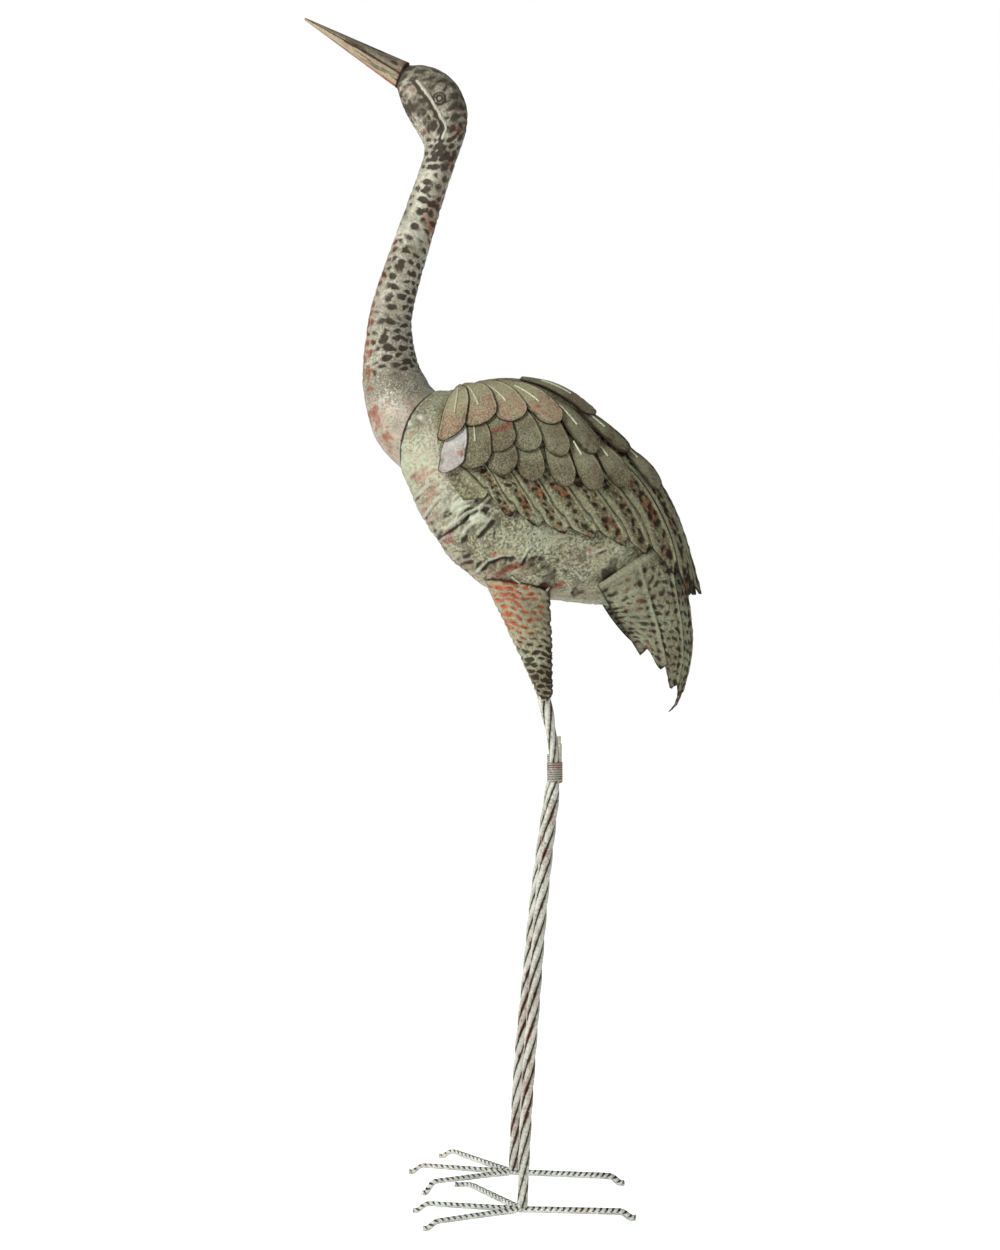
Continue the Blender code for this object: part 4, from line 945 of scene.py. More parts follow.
hammer = ease((across - 0.36) / 0.16) * ease((1.0 - across) / 0.10) * outer_part
hammer = hammer * (0.4 + 0.6 * (feather > 1))
warp = rough(plain, 80.0, 71, 2)
lumps = dashes(across * 2.2 + 0.4 * warp, radius / 0.0066 + 0.4 * rough(plain, 70.0, 72, 1),
               0.42, 0.40, 70)
lumps = np.clip(lumps + 0.6 * rough(plain, 230.0, 74, 2), 0, 1)
# edge_line is a painted shadow along the cut edge, where the sheet stands off the body.
edge_line = np.exp(-((cut_outline(turn) - radius) / 0.0010) ** 2)
relief = (0.0014 * rib - 0.0014 * hammer * lumps + 0.00018 * rough(plain, 330.0, 73, 2)
          + FLUTE * (radius / cut_outline(turn)) ** 3 * np.sin(across * math.pi) * 0.7)
pits = lumps * hammer
# The thin dark line beside each rib is painted shade.
wing_marks = {
    "dark": 0.92 * pits + 1.1 * edge_line + 0.35 * ease((feather - 7.2) / 1.5)
            + 0.8 * np.exp(-((across - 0.12) * spacing / 0.0012) ** 2) * outer_part * (feather > 0.9),
    "rust": 0.58 * hammer * (0.80 + 0.9 * rough(plain, 90.0, 77, 2)) * (0.35 + 0.65 * (feather > 1)),
    "pale": 0.40 * rib
            + 0.40 * ease((across - 0.05) / 0.1) * ease((0.42 - across) / 0.16) * outer_part,
    "pink": 0.15 * hammer}
outer = fan(turn, radius, WING_CLEAR + SHEET + rise + relief)
inner = fan(turn, radius, WING_CLEAR + rise + np.minimum(relief, 0.0004))
wing_points = np.concatenate([outer.reshape(-1, 3), inner.reshape(-1, 3)])
wing_marks = {mark: np.tile(values.ravel(), 2) for mark, values in wing_marks.items()}
wing_patina = patina(
    "wing_patina", (112, 108, 82), (132, 136, 108), (62, 53, 33), (26, 19, 9),
    rust=(128, 76, 38), pink=(136, 110, 78), bright=(156, 156, 124), grain=430.0,
    speckle=0.7, blotch=0.35, gloss=0.5, metallic=0.15, bump=0.9)
both_sides("wing_sheet", wing_points, plate_faces(*turn.shape), wing_patina, "wing",
           wing_marks)


# Leaves
# Eighteen tongue-shaped leaves of thinner sheet cover each wing in three rows,
# every one lapping the leaf behind it and the row below. Their rims are turned
# up slightly and the lower half is left grainy.
LEAF_SHEET = 0.0006
LEAF_SLOPE = (0.068, 0.052)
LEAF_FLATTENS = (45.0, 75.0)
LEAF_ROOM = (0.5, 1.6)
FRONT_LEAF = 0.80
LEAF_LIFT = 0.0015
LEAF_TILT = 0.0017
# Length and width of a row's leaves, then the turn and the reach of each tip in the fan
LEAF_ROWS = (
    (0.075, 0.0250, ((13, 0.0886), (28, 0.0895), (43, 0.100), (58, 0.118), (82, 0.128))),
    (0.062, 0.0245, ((15, 0.127), (23.5, 0.1325), (33.5, 0.124), (43.5, 0.133), (54, 0.1446),
                     (67, 0.155), (80, 0.1715))),
    (0.044, 0.0250, ((32.5, 0.1457), (41.5, 0.157), (52, 0.1675), (61.3, 0.1795),
                     (70.6, 0.1905), (82, 0.210))),
)
BANDED_LEAF = (2, 3)
LAVENDER_LEAF = (2, 1)
LEAF_SHAPE = ((0.0, 0.42), (0.25, 0.72), (0.52, 0.97), (0.78, 1.0), (1.0, 1.0))
LEAF_ALONG = 50
LEAF_ACROSS = 20
RIM_WIDTH = 0.0015
RIM_HEIGHT = 0.0008
LEAF_DISH = 0.0003
LEAF_GRAIN = 0.00034
LEAF_CROWN = 0.0009
leaf_patinas = {
    "warm": patina("warm_leaf", (132, 124, 98), (146, 140, 112), (84, 71, 50), (26, 19, 10),
                   rust=(148, 84, 60), pink=(158, 120, 98), grain=620.0, speckle=0.75,
                   blotch=0.2, gloss=0.55, metallic=0.12, bump=0.9),
    "green": patina("green_leaf", (102, 97, 74), (120, 119, 94), (70, 62, 40), (42, 33, 18),
                    rust=(136, 76, 54), pink=(128, 108, 86), grain=620.0, speckle=0.8,
                    blotch=0.25, gloss=0.55, metallic=0.12, bump=0.9),
    "lavender": patina("lavender_leaf", (158, 154, 146), (168, 166, 160), (132, 124, 116),
                       (62, 52, 42), pink=(168, 154, 152), grain=620.0, speckle=0.6,
                       blotch=0.10, gloss=0.52, metallic=0.12, bump=0.7)}


def leaf_layer(angle, radius):
    """Height of the leaves' roots above the flank form."""
    share = np.minimum(radius / flight_outline(np.maximum(angle, FLIGHT_TIPS[0][0])), 1)
    return (WING_CLEAR + SHEET + TIP_LIFT * share**6 + FLUTE * share**3 + LEAF_LIFT)


def leaf_place(angle, tip_radius, length, width, room, a, side):
    """Turn, radius and height of a place on a leaf: a along it, side across it."""
    radius = tip_radius - length * (1 - a)
    slope = LEAF_SLOPE[0] + (LEAF_SLOPE[1] - LEAF_SLOPE[0]) * ease(
        (angle - LEAF_FLATTENS[0]) / (LEAF_FLATTENS[1] - LEAF_FLATTENS[0]))
    widest = np.radians((LEAF_ROOM[0] + (LEAF_ROOM[1] - LEAF_ROOM[0]) * a) * room) * radius
    half = np.minimum(curve(LEAF_SHAPE, a) * width / 2, widest)
    left = np.clip(length * (1 - a), 0, None)
    round_end = np.sqrt(np.clip(1 - np.clip(1 - left / (width / 2), 0, 1) ** 2, 0, 1))
    half = half * np.maximum(round_end, 0.03)
    spread = np.degrees(side * half / radius)
    lift = leaf_layer(angle, radius) + slope * length * a + LEAF_TILT * spread / room
    return angle + spread, radius, lift, half


for row, (length, width, tips) in enumerate(LEAF_ROWS, 1):
    room = (tips[-1][0] - tips[0][0]) / (len(tips) - 1)
    for n, (angle, tip_radius) in enumerate(tips, 1):
        own = width * (FRONT_LEAF if n == 1 and row < len(LEAF_ROWS) else 1.0)
        straight = 1 - own / 2 / length
        end_turns = np.linspace(0, math.pi / 2, LEAF_ALONG // 2)
        a = np.append(np.linspace(0, straight, LEAF_ALONG - len(end_turns), endpoint=False),
                      straight + own / 2 / length * np.sin(end_turns))[:, None]
        side = np.sin(np.linspace(-1, 1, LEAF_ACROSS) * 1.25) / math.sin(1.25) * np.ones_like(a)
        turn, radius, lift, half = leaf_place(angle, tip_radius, length, own, room, a, side)
        radius = radius * np.ones_like(turn)
        to_edge = np.minimum((1 - np.abs(side)) * half, 2 * length * (1 - a))
        rim = np.exp(-((to_edge - RIM_WIDTH * 0.6) / (RIM_WIDTH * 0.55)) ** 2) * ease((a - 0.15) / 0.2)
        plain = fan(turn, radius, lift)
        grainy = ease((a - 0.52) / 0.12) * np.ones_like(side)
        lumps = rough(plain, 260.0, 81 + row, 3)
        top = (lift + LEAF_SHEET + RIM_HEIGHT * rim - LEAF_DISH * ease(to_edge / RIM_WIDTH)
               + LEAF_GRAIN * lumps * grainy + LEAF_CROWN * (1 - side**2))
        tint = lattice(np.array([row * 3.7, n * 1.9]), 1.0, 83)
        banded = (row, n) == BANDED_LEAF
        # The dark lines along each leaf's edge and just inside its rim are painted shadow.
        marks = {
            "dark": 1.15 * np.exp(-(to_edge / (RIM_WIDTH * 0.55)) ** 2)
                    + 0.35 * np.exp(-((to_edge - RIM_WIDTH * 1.7) / (RIM_WIDTH * 0.7)) ** 2)
                    + 0.26 * grainy * ease(lumps * 3) + (0.30 if row > 1 and n > 5 else 0.05),
            "rust": grainy * (0.35 + 0.3 * tint) * ease((rough(plain, 110.0, 87, 2) - 0.1) / 0.3)
                    + (0.8 * np.exp(-((a - 0.62) / 0.09) ** 2) if banded else 0.0),
            "pale": 0.30 * rim + 0.40 * (1 - grainy) * ease((a - 0.1) / 0.2),
            "pink": grainy * (0.70 if row == 1 and n < 5 else 0.30 + 0.35 * tint)}
        points = np.concatenate([fan(turn, radius, top).reshape(-1, 3), plain.reshape(-1, 3)])
        marks = {mark: np.tile((values * np.ones_like(side)).ravel(), 2)
                 for mark, values in marks.items()}
        kind = "lavender" if (row, n) == LAVENDER_LEAF else "warm" if row == 1 and n < 5 else "green"
        both_sides(f"leaf_sheet_{row}_{n}", points, plate_faces(*side.shape), leaf_patinas[kind],
                   f"leaf_{row}_{n}", marks)


# Quills
# Short round bars tacked onto the upper half of some leaves stand for the
# feathers' quills.
QUILL_THICKNESS = 0.0020
QUILL_SIDES = 10
# Row and number of the leaf, and the shares of its length where the bar begins and ends
QUILLS = ((1, 1, 0.16, 0.63), (1, 2, 0.20, 0.68), (1, 3, 0.22, 0.67), (1, 4, 0.24, 0.65),
          (1, 5, 0.24, 0.62), (2, 2, 0.10, 0.54), (2, 6, 0.16, 0.53), (2, 7, 0.16, 0.52),
          (3, 4, 0.02, 0.32), (3, 5, 0.02, 0.36), (3, 6, 0.02, 0.32))


def bar_tree(name, sizes):
    """Tree that skins lines, with its named sizes; its profile and its turning are still open."""
    tree = bpy.data.node_groups.new(name, "GeometryNodeTree")
    sockets = [("Lines", "NodeSocketGeometry"), *sizes, ("Finish", "NodeSocketMaterial")]
    for key, kind in sockets:
        tree.interface.new_socket(name=key, in_out="INPUT", socket_type=kind)
    tree.interface.new_socket(name="Bars", in_out="OUTPUT", socket_type="NodeSocketGeometry")
    start, end = tree.nodes.new("NodeGroupInput"), tree.nodes.new("NodeGroupOutput")
    curves = tree.nodes.new("GeometryNodeMeshToCurve")
    skin = tree.nodes.new("GeometryNodeCurveToMesh")
    skin.inputs["Fill Caps"].default_value = True
    real = tree.nodes.new("GeometryNodeRealizeInstances")
    coat = tree.nodes.new("GeometryNodeSetMaterial")
    for source, target in (
            (start.outputs["Lines"], curves.inputs[0]), (skin.outputs[0], real.inputs[0]),
            (real.outputs[0], coat.inputs["Geometry"]),
            (start.outputs["Finish"], coat.inputs["Material"]), (coat.outputs[0], end.inputs[0])):
        tree.links.new(source, target)
    return tree, start, curves, skin


def rod_tree():
    """Round rods along lines: sizes are the rods' thickness and their number of sides."""
    tree, start, curves, skin = bar_tree("rods_along_lines", (
        ("Thickness", "NodeSocketFloat"), ("Sides", "NodeSocketInt")))
    ring = tree.nodes.new("GeometryNodeCurvePrimitiveCircle")
    half = tree.nodes.new("ShaderNodeMath")
    half.operation = "MULTIPLY"
    half.inputs[1].default_value = 0.5
    for source, target in (
            (start.outputs["Thickness"], half.inputs[0]), (half.outputs[0], ring.inputs["Radius"]),
            (start.outputs["Sides"], ring.inputs["Resolution"]),
            (curves.outputs[0], skin.inputs["Curve"]),
            (ring.outputs["Curve"], skin.inputs["Profile Curve"])):
        tree.links.new(source, target)
    return tree


def grow(name, tree, values, lines, nodes, mark_by=None):
    """A node tree's result on lines of points, as a plain mesh in the frame."""
    points = np.concatenate(lines)
    edges, first = [], 0
    for line in lines:
        edges += [(first + k, first + k + 1) for k in range(len(line) - 1)]
        first += len(line)
    seed_mesh = bpy.data.meshes.new(name + "_lines")
    seed_mesh.from_pydata((points + ORIGIN).tolist(), edges, [])
    seed = bpy.data.objects.new(name + "_lines", seed_mesh)
    bpy.context.scene.collection.objects.link(seed)
    modifier = seed.modifiers.new("rods", "NODES")
    modifier.node_group = tree
    sockets = {item.name: item.identifier for item in tree.interface.items_tree
               if item.in_out == "INPUT"}
    for key, value in values.items():
        modifier[sockets[key]] = value
    mesh = bpy.data.meshes.new_from_object(
        seed.evaluated_get(bpy.context.evaluated_depsgraph_get()))
    mesh.name = name
    bpy.data.objects.remove(seed, do_unlink=True)
    places = np.array([v.co for v in mesh.vertices]) - ORIGIN
    return dress(name, mesh, nodes, mark_by(places) if mark_by else None)


rods = rod_tree()
quill_patina = patina("quill_patina", (164, 168, 138), (184, 186, 156), (110, 107, 84), (41, 36, 27),
                      grain=600.0, speckle=0.4, blotch=0.15, gloss=0.4, bump=0.3)
quill_lines = []
for row, n, begin, finish_at in QUILLS:
    length, width, tips = LEAF_ROWS[row - 1]
    room = (tips[-1][0] - tips[0][0]) / (len(tips) - 1)
    a = np.linspace(begin, finish_at, 14)
    own = width * (FRONT_LEAF if n == 1 else 1.0)
    turn, radius, lift, half = leaf_place(*tips[n - 1], length, own, room, a, 0 * a)
    quill_lines.append(fan(turn, radius, lift + LEAF_SHEET + LEAF_CROWN))
for side, mirror in (("left", 1), ("right", -1)):
    grow(side + "_quills", rods, {"Thickness": QUILL_THICKNESS, "Sides": QUILL_SIDES,
                                  "Finish": quill_patina},
         [line * (1, mirror, 1) for line in quill_lines], [])


# Tail
# One sheet bent round the end of the body, its hem cut into feathers and its
# left and right halves alike. Short dashes are chased across every feather, and
# the ribs between the feathers are pressed outwards.
TAIL_HALF_WIDTH = (0.050, 0.034)
TAIL_HEM = ((0, 0.034), (10, 0.022), (16, 0.012), (20, 0.018), (24, 0.018), (30, 0.013),
            (35, 0.008), (38, 0.011), (41, 0.0147), (44, 0.0145), (50, 0.010), (57, 0.002),
            (61.5, -0.0043), (62.8, 0), (64.4, 0.0031), (68, 0.0025), (74, -0.001),
            (81, -0.006), (86.5, -0.0086), (88.5, -0.003), (90, 0))
FAR_HEM = 0.0085         # the right half is cut this much shorter
TAIL_COLUMNS = 240
TAIL_ROWS = 92
TAIL_FEATHER = 0.020      # the width of a tail feather
TAIL_DASHES = 0.0062
TAIL_CURL = 0.0045
CURL_DROP = (0.024, 0.034)
TAIL_RIBS = ((0, 3.5), (16, 3), (36, 2), (62, 1), (90, 0))


def half_width_at(s, across, sink):
    """Half width of the body at places in side view, its back line lowered by sink."""
    top, keel = curve(BACK_LINE, s) - sink, curve(KEEL_LINE, s)
    share = (across - (top + keel) / 2) / ((top - keel) / 2)
    power = np.where(share > 0, 2.0, LOWER_FULLNESS)
    inside = np.clip(1 - np.abs(share) ** power, 0, 1)
    return curve(HALF_WIDTH, s) * inside ** (1 / power)


def tail_point(turn, v, drop, offset):
    """Point of the tail: turn 0 at the back, 90 at the left edge; v from top to hem."""
    edge = from_breast(TAIL_EDGE[0] + (TAIL_EDGE[1] - TAIL_EDGE[0]) * v[..., None])
    back = from_breast(along(TAIL_BACK, v))
    a = np.abs(turn)
    place = back + (edge - back) * (1 - np.cos(np.radians(a)))[..., None]
    s, across = (place - BREAST) @ AXIS, (place - BREAST) @ UP
    half = half_width_at(np.minimum(s, BACK_LINE[-1][0]), across, TAIL_SINK)
    hug = np.maximum(half - TAIL_SHEET_IN, 0.0003 * a)
    free = (TAIL_HALF_WIDTH[0] + (TAIL_HALF_WIDTH[1] - TAIL_HALF_WIDTH[0]) * v)
    free = free * np.sin(np.radians(a)) ** 0.8
    side = hug + (free - hug) * ease(v / 0.45)
    down = unit(np.cross(edge - back, (0.0, 1.0, 0.0)))
    down *= -np.sign(down[..., 2:])
    around = np.stack([np.cos(np.radians(a)), -np.sin(np.radians(a)), 0 * a], -1)
    place = place + down * drop[..., None] + around * offset[..., None]
    place[..., 1] = (place[..., 1] - side) * np.where(turn < 0, -1, 1)
    return place


turn = np.linspace(90, -90, TAIL_COLUMNS)[:, None] * np.ones((1, TAIL_ROWS))
v = np.linspace(0, 1, TAIL_ROWS)[None, :] ** 0.9 * np.ones((TAIL_COLUMNS, 1))
drop = np.interp(np.abs(turn), *np.array(TAIL_HEM).T) - FAR_HEM * ease((-turn - 8) / 20)
drop = drop * v**3
curl = TAIL_CURL * np.clip((drop - CURL_DROP[0]) / (CURL_DROP[1] - CURL_DROP[0]), 0, 1) ** 2
plain = tail_point(turn, v, drop, 0 * v)
feather = np.interp(np.abs(turn), *np.array(TAIL_RIBS, float).T)
across = feather - np.floor(feather)
to_rib = np.minimum(across, 1 - across) * TAIL_FEATHER
rib = np.exp(-(to_rib / 0.0008) ** 2) * ease(v / 0.12)
groove = np.exp(-((to_rib - 0.0022) / 0.0012) ** 2) * ease(v / 0.12)
run_down = (v * 0.085 + drop * 0.8 + 0.0022 * rough(plain, 60.0, 91, 2)) / TAIL_DASHES
marked = dashes(feather * 3.0 + 0.25 * rough(plain, 70.0, 92, 2), run_down, 0.44, 0.30, 93)
marked = marked * ease((v - 0.05) / 0.08) * (1 - 0.8 * rib)
edge_line = np.exp(-((1 - v) * 0.075 / 0.0011) ** 2) + np.exp(-((90 - np.abs(turn)) / 1.1) ** 2)
# top_lip raises a lip along the tail's top edge; the pale laid on it is a painted highlight.
top_lip = np.exp(-((v - 0.035) / 0.022) ** 2)
relief = (0.0010 * rib - 0.0009 * groove - 0.0007 * marked + 0.00035 * rough(plain, 140.0, 95)
          + 0.0009 * top_lip)
reddish = ease(0.5 + 0.9 * lattice(np.stack([np.floor(run_down), np.floor(feather * 3)], -1),
                                   0.9, 97))
front_share = ease((np.abs(turn) - 55) / 12)
tail_marks = {
    "dark": 0.82 * marked * (1 - 0.5 * reddish * front_share) + 0.9 * edge_line + 0.45 * groove
            + 0.28 * ease((40 - np.abs(turn)) / 30),
    "rust": 0.9 * marked * reddish * (0.3 + 0.7 * front_share),
    "pale": 0.30 * rib + 0.6 * top_lip + 0.10 * (1 - marked), "pink": 0 * v}
outer = tail_point(turn, v, drop, SHEET + relief)
inner = tail_point(turn, v, drop, np.minimum(relief, 0.0004) * 0.5)
outer[..., 0] -= curl
inner[..., 0] -= curl
tail_points = np.concatenate([outer.reshape(-1, 3), inner.reshape(-1, 3)])
tail_faces = facing_out(tail_points, plate_faces(TAIL_COLUMNS, TAIL_ROWS))
make_piece("tail_sheet", tail_points, tail_faces, patina(
    "tail_patina", (104, 101, 78), (130, 133, 108), (62, 53, 36), (38, 28, 16),
    rust=(118, 56, 40), grain=460.0, speckle=0.65, blotch=0.30, gloss=0.52, metallic=0.12,
    bump=0.7),
    ["tail"], {mark: np.tile(values.ravel(), 2) for mark, values in tail_marks.items()})


# Thighs
# A flattened cone of rolled sheet on each side, hammered in rows of scallops. Its
# top is cut to the belly and tack-welded there; its lower end laps the leg.
STANCE = 0.100
KNEE_HEIGHT = 0.4092
THIGH_STATION = 0.1455
THIGH_LAP = 0.0160
LAP_CLEAR = 0.0010
LEG_RADIUS = 0.0064
LEG_AHEAD = 0.1174
LEG_SHARE = 0.490
LEG_SEAT = 0.0025
THIGH_SINK = 0.040
THIGH_TONGUE = ((0.0, 0.0002, 0.0057, 0.0020), (0.35, -0.0038, 0.0092, 0.0030),
                (1.0, -0.0083, 0.0097, 0.0040))
THIGH_SHAPE = ((0.26, -0.0228, 0.0097, -0.0203, 0.0087), (0.48, -0.0355, 0.0085, -0.0319, 0.0071),
               (1.0, -0.0648, 0.0069, -0.0342, -0.0018))
THIGH_RINGS = 130
TONGUE_RINGS = 24
THIGH_SIDES = 96
CAP_RINGS = (0.85, 0.6, 0.3)
BELLY_GAP = 0.0006
BELLY_SEARCH = (0.50, 0.64)
HALVINGS = 26
SCALLOP_PITCH = 6.6      # as seen in the photograph, in pixels
SCALLOP_WIDE = 10.0
THIGH_PIXEL = (520, 590)
LOWER_FROM = (615, 55)   # height where the rusty upper part ends, and its fade
REAR_EDGE = (548, 40)
belly = section(np.array(THIGH_STATION), np.array(math.pi))
leg_top = np.array((BREAST[0] + LEG_AHEAD, 0.0,
                    KNEE_HEIGHT + (belly[2] - KNEE_HEIGHT) * LEG_SHARE))
cone_top = belly[2] + THIGH_SINK
shelf = leg_top[2] + LEG_SEAT
near = LEG_RADIUS + LAP_CLEAR
tongue = [(shelf - JOINT_GAP - THIGH_LAP * (1 - share), front, rear, near, near + thick)
          for share, front, rear, thick in THIGH_TONGUE]
cone = [(shelf, *tongue[-1][1:3], -near, tongue[-1][4])]
cone += [(shelf + (cone_top - shelf) * share, *sides) for share, *sides in THIGH_SHAPE]


def thigh_ring(height, table):
    """Outline of the left thigh at heights, one row per height."""
    front, rear, inner, outer = (np.interp(height, [row[0] for row in table],
                                           [row[k] for row in table]) for k in range(1, 5))
    turn = np.linspace(0, 2 * math.pi, THIGH_SIDES, endpoint=False)
    out = (inner + outer) / 2 + (outer - inner) / 2 * power_of(np.sin(turn), 0.8)
    x = leg_top[0] + (front + rear) / 2 + (rear - front) / 2 * np.cos(turn)
    return np.stack([x, -(STANCE / 2 + out), height + 0 * x], -1)


def belly_height(x, y):
    """Height at which a plumb line at x, y meets the body from below."""
    low, high = (np.full(np.shape(x), height) for height in BELLY_SEARCH)
    for _ in range(HALVINGS):
        middle = (low + high) / 2
        place = np.stack([x, y, middle], -1) - BREAST
        inside = half_width_at(place @ AXIS, place @ UP, 0.0) > np.abs(y)
        low, high = np.where(inside, low, middle), np.where(inside, middle, high)
    return high


heights = np.linspace(shelf, cone_top, 400)[:, None] * np.ones((1, THIGH_SIDES))
climb = thigh_ring(heights, cone)
within = climb[..., 2] > belly_height(climb[..., 0], climb[..., 1]) - 0.0004
end_height = np.where(within.any(0), heights[within.argmax(0), 0], cone_top)
rows = np.linspace(0, 1, THIGH_RINGS - TONGUE_RINGS)[:, None]
cone_rings = thigh_ring(shelf + (end_height - shelf) * rows, cone)
tongue_heights = np.linspace(tongue[0][0], tongue[-1][0], TONGUE_RINGS)[:, None]
tongue_rings = thigh_ring(tongue_heights * np.ones((1, THIGH_SIDES)), tongue)
thigh = np.concatenate([tongue_rings, cone_rings])
thigh_out = outward_of(thigh)
seen = sight(thigh)
slant = seen[..., 1] - 0.16 * (seen[..., 0] - THIGH_PIXEL[0])
wave = 1.3 * np.sin(seen[..., 0] / 5.3) + 1.6 * rough(thigh, 60.0, 101, 2)
scallop = 1 - dashes(seen[..., 0] / SCALLOP_WIDE + 0.2 * rough(thigh, 50.0, 105, 1),
                     (slant + wave) / SCALLOP_PITCH, 0.47, 0.33, 107)
lower = ease((seen[..., 1] - LOWER_FROM[0]) / LOWER_FROM[1])
from_edge = REAR_EDGE[0] - (seen[..., 1] - THIGH_PIXEL[1]) * 0.02 - seen[..., 0]
left_side = ease(from_edge / REAR_EDGE[1])
from_end = (end_height - thigh[..., 2]) / 0.0018
# seam is the band at the thigh's top where it goes in under the belly; its dark is painted shade.
seam = np.exp(-np.clip(from_end, 0, None) ** 2)
relief = (0.0012 * (scallop - 0.5) * ease(from_end / 2) + 0.00025 * rough(thigh, 260.0, 103, 2))
ring_number = np.arange(THIGH_RINGS)[:, None]
relief *= ease(ring_number / 3.0) * (ring_number != TONGUE_RINGS)
# edge_x runs from the thigh's rear outline as seen; the dark line laid along it is painted shade.
edge_x = seen[..., 0] - seen[..., 0].max(1, keepdims=True)
thigh_marks = {
    "dark": (1 - scallop) * (0.50 + 0.45 * lower) * (0.55 + 0.45 * lower + 0.3 * (1 - left_side))
            + 0.8 * np.exp(-(edge_x / 2.2) ** 2) + 0.9 * seam + 0.12 * lower,
    "rust": (1 - lower) * (0.26 + 0.80 * (1 - scallop)) * (0.55 + 0.75 * left_side)
            + 0.30 * (1 - scallop) * lower,
    "pale": 0.22 * scallop * (1 - lower), "pink": 0.25 * (1 - lower)}
rim_middle = thigh[-1].mean(0)
cap = rim_middle + (thigh[-1][None] - rim_middle) * np.array(CAP_RINGS)[:, None, None]
cap[..., 2] = belly_height(cap[..., 0], cap[..., 1]) - BELLY_GAP
top_hub = np.append(rim_middle[:2], belly_height(*rim_middle[:2]) - BELLY_GAP)
thigh_points = np.concatenate([thigh.reshape(-1, 3), cap.reshape(-1, 3),
                               [thigh[0].mean(0), top_hub]])
thigh_marks = with_hubs(thigh_marks, thigh.shape[:2], cap.shape[0] * THIGH_SIDES + 2)
thigh_points[: THIGH_RINGS * THIGH_SIDES] += (thigh_out * relief[..., None]).reshape(-1, 3)
both_sides("thigh_cone", thigh_points, tube_faces(THIGH_RINGS + len(cap), THIGH_SIDES), patina(
    "thigh_patina", (116, 110, 88), (142, 145, 119), (72, 62, 43), (38, 28, 16),
    rust=(168, 78, 36), pink=(150, 112, 82), grain=460.0, speckle=0.6, blotch=0.25,
    gloss=0.5, metallic=0.12, bump=0.7), "thigh", thigh_marks)

# Tacks and the bent ends of wire that hold each thigh to the belly
TACKS = (((487, 580), (490, 582.5), (494, 582)), ((512, 577), (516, 580.5), (520, 583)),
         ((516, 584), (521, 588), (525, 586)), ((541, 596), (545, 592.5), (549, 588)))
TACK_THICKNESS = 0.0022
tack_lines = []
for tack in TACKS:
    tack = along(tack, np.linspace(0, 1, 9))
    y = -STANCE / 2 * np.ones(len(tack)) - 0.006
    for _ in range(12):
        reach = (DISTANCE + y) / FOCAL_PIXELS
        x = (tack[:, 0] - MIDDLE_PIXEL[0]) * reach
        z = VIEW_HEIGHT - (tack[:, 1] - MIDDLE_PIXEL[1]) * reach
        place = np.stack([x, y, z], -1) - BREAST
        y = -half_width_at(place @ AXIS, place @ UP, 0.0) - 0.0012
        y = np.minimum(y, -0.030)
    tack_lines.append(np.stack([x, y, z], -1))
tack_patina = patina("tack_patina", (150, 146, 122), (176, 172, 146), (83, 72, 55), (29, 23, 17),
                     grain=700.0, speckle=0.7, blotch=0.4, gloss=0.4, bump=0.8)
for side, mirror in (("left", 1), ("right", -1)):
    grow(side + "_tacks", rods, {"Thickness": TACK_THICKNESS, "Sides": QUILL_SIDES,
                                 "Finish": tack_patina},
         [line * (1, mirror, 1) for line in tack_lines], [])


# Legs
# Four round rods twisted into a strand above and below the knee, drawn together
# where the binding holds them and spread again over the toes.
KNEE_RADIUS = 0.0045
LEFT_FOOT_X = 0.0205
RIGHT_FOOT_X = 0.0130
KNEE_X = (0.0500, 0.0530)
TOE_HEIGHT = 0.0077
TOE_ROD = 0.0056
STRANDS = 4
STRAND_PITCH = 0.110
STRAND_THICKNESS = 0.0060
UPPER_LEG_BOW = ((0, 0), (0.14, 0.02), (0.37, 0.18), (0.60, 0.44), (0.72, 0.62), (1, 1))
LOWER_LEG_BOW = ((1, 1), (0.972, 1), (0.927, 0.92), (0.706, 0.60), (0.475, 0.36),
                 (0.244, 0.14), (0, 0))
UPPER_LEG_SWELL = (0.0, 0.0, 0.15, 0.58, 0.90, 1.0)
LOWER_LEG_SWELL = (0.0, 0.15, 1.0, 0.95, 0.84, 0.79, 0.15)
LEG_STEPS = {"upper": 60, "lower": 220}
ROD_SIDES = 14
STUB = (0.0049, 0.0262, 0.0037)      # behind the knee, height above it, thickness
STUB_TUCK = 0.010
FOOT_SPREAD = 0.0008
FOOT_RISE = (0.022, 0.012)
leg_patina = patina("leg_patina", (158, 157, 144), (182, 184, 172), (93, 79, 64), (32, 22, 15),
                    rust=(128, 72, 46), grain=520.0, speckle=0.6, blotch=0.35, gloss=0.46,
                    metallic=0.15, bump=0.6)


def leg_path(side, foot_x, knee_x, part):
    """Middle line of one part of a leg, from its lower end up, and the strand's radius."""
    y = -side * STANCE / 2
    knee = np.array((knee_x, y, KNEE_HEIGHT))
    if part == "upper":
        low, high = knee, leg_top + (0, y, 0)
        bow, swell = UPPER_LEG_BOW, UPPER_LEG_SWELL
    else:
        low, high = np.array((foot_x, y, TOE_HEIGHT + TOE_ROD / 2 + JOINT_GAP)), knee
        bow, swell = LOWER_LEG_BOW, LOWER_LEG_SWELL
    line = np.array([(low[0] + (high[0] - low[0]) * lean, y, low[2] + (high[2] - low[2]) * rise)
                     for rise, lean in bow])
    u = np.linspace(0, 1, LEG_STEPS[part])
    swell = curve(list(zip(np.linspace(0, 1, len(swell)), swell)), u)
    return along(line, u), KNEE_RADIUS + (LEG_RADIUS - KNEE_RADIUS) * np.clip(swell, 0, 1.05)


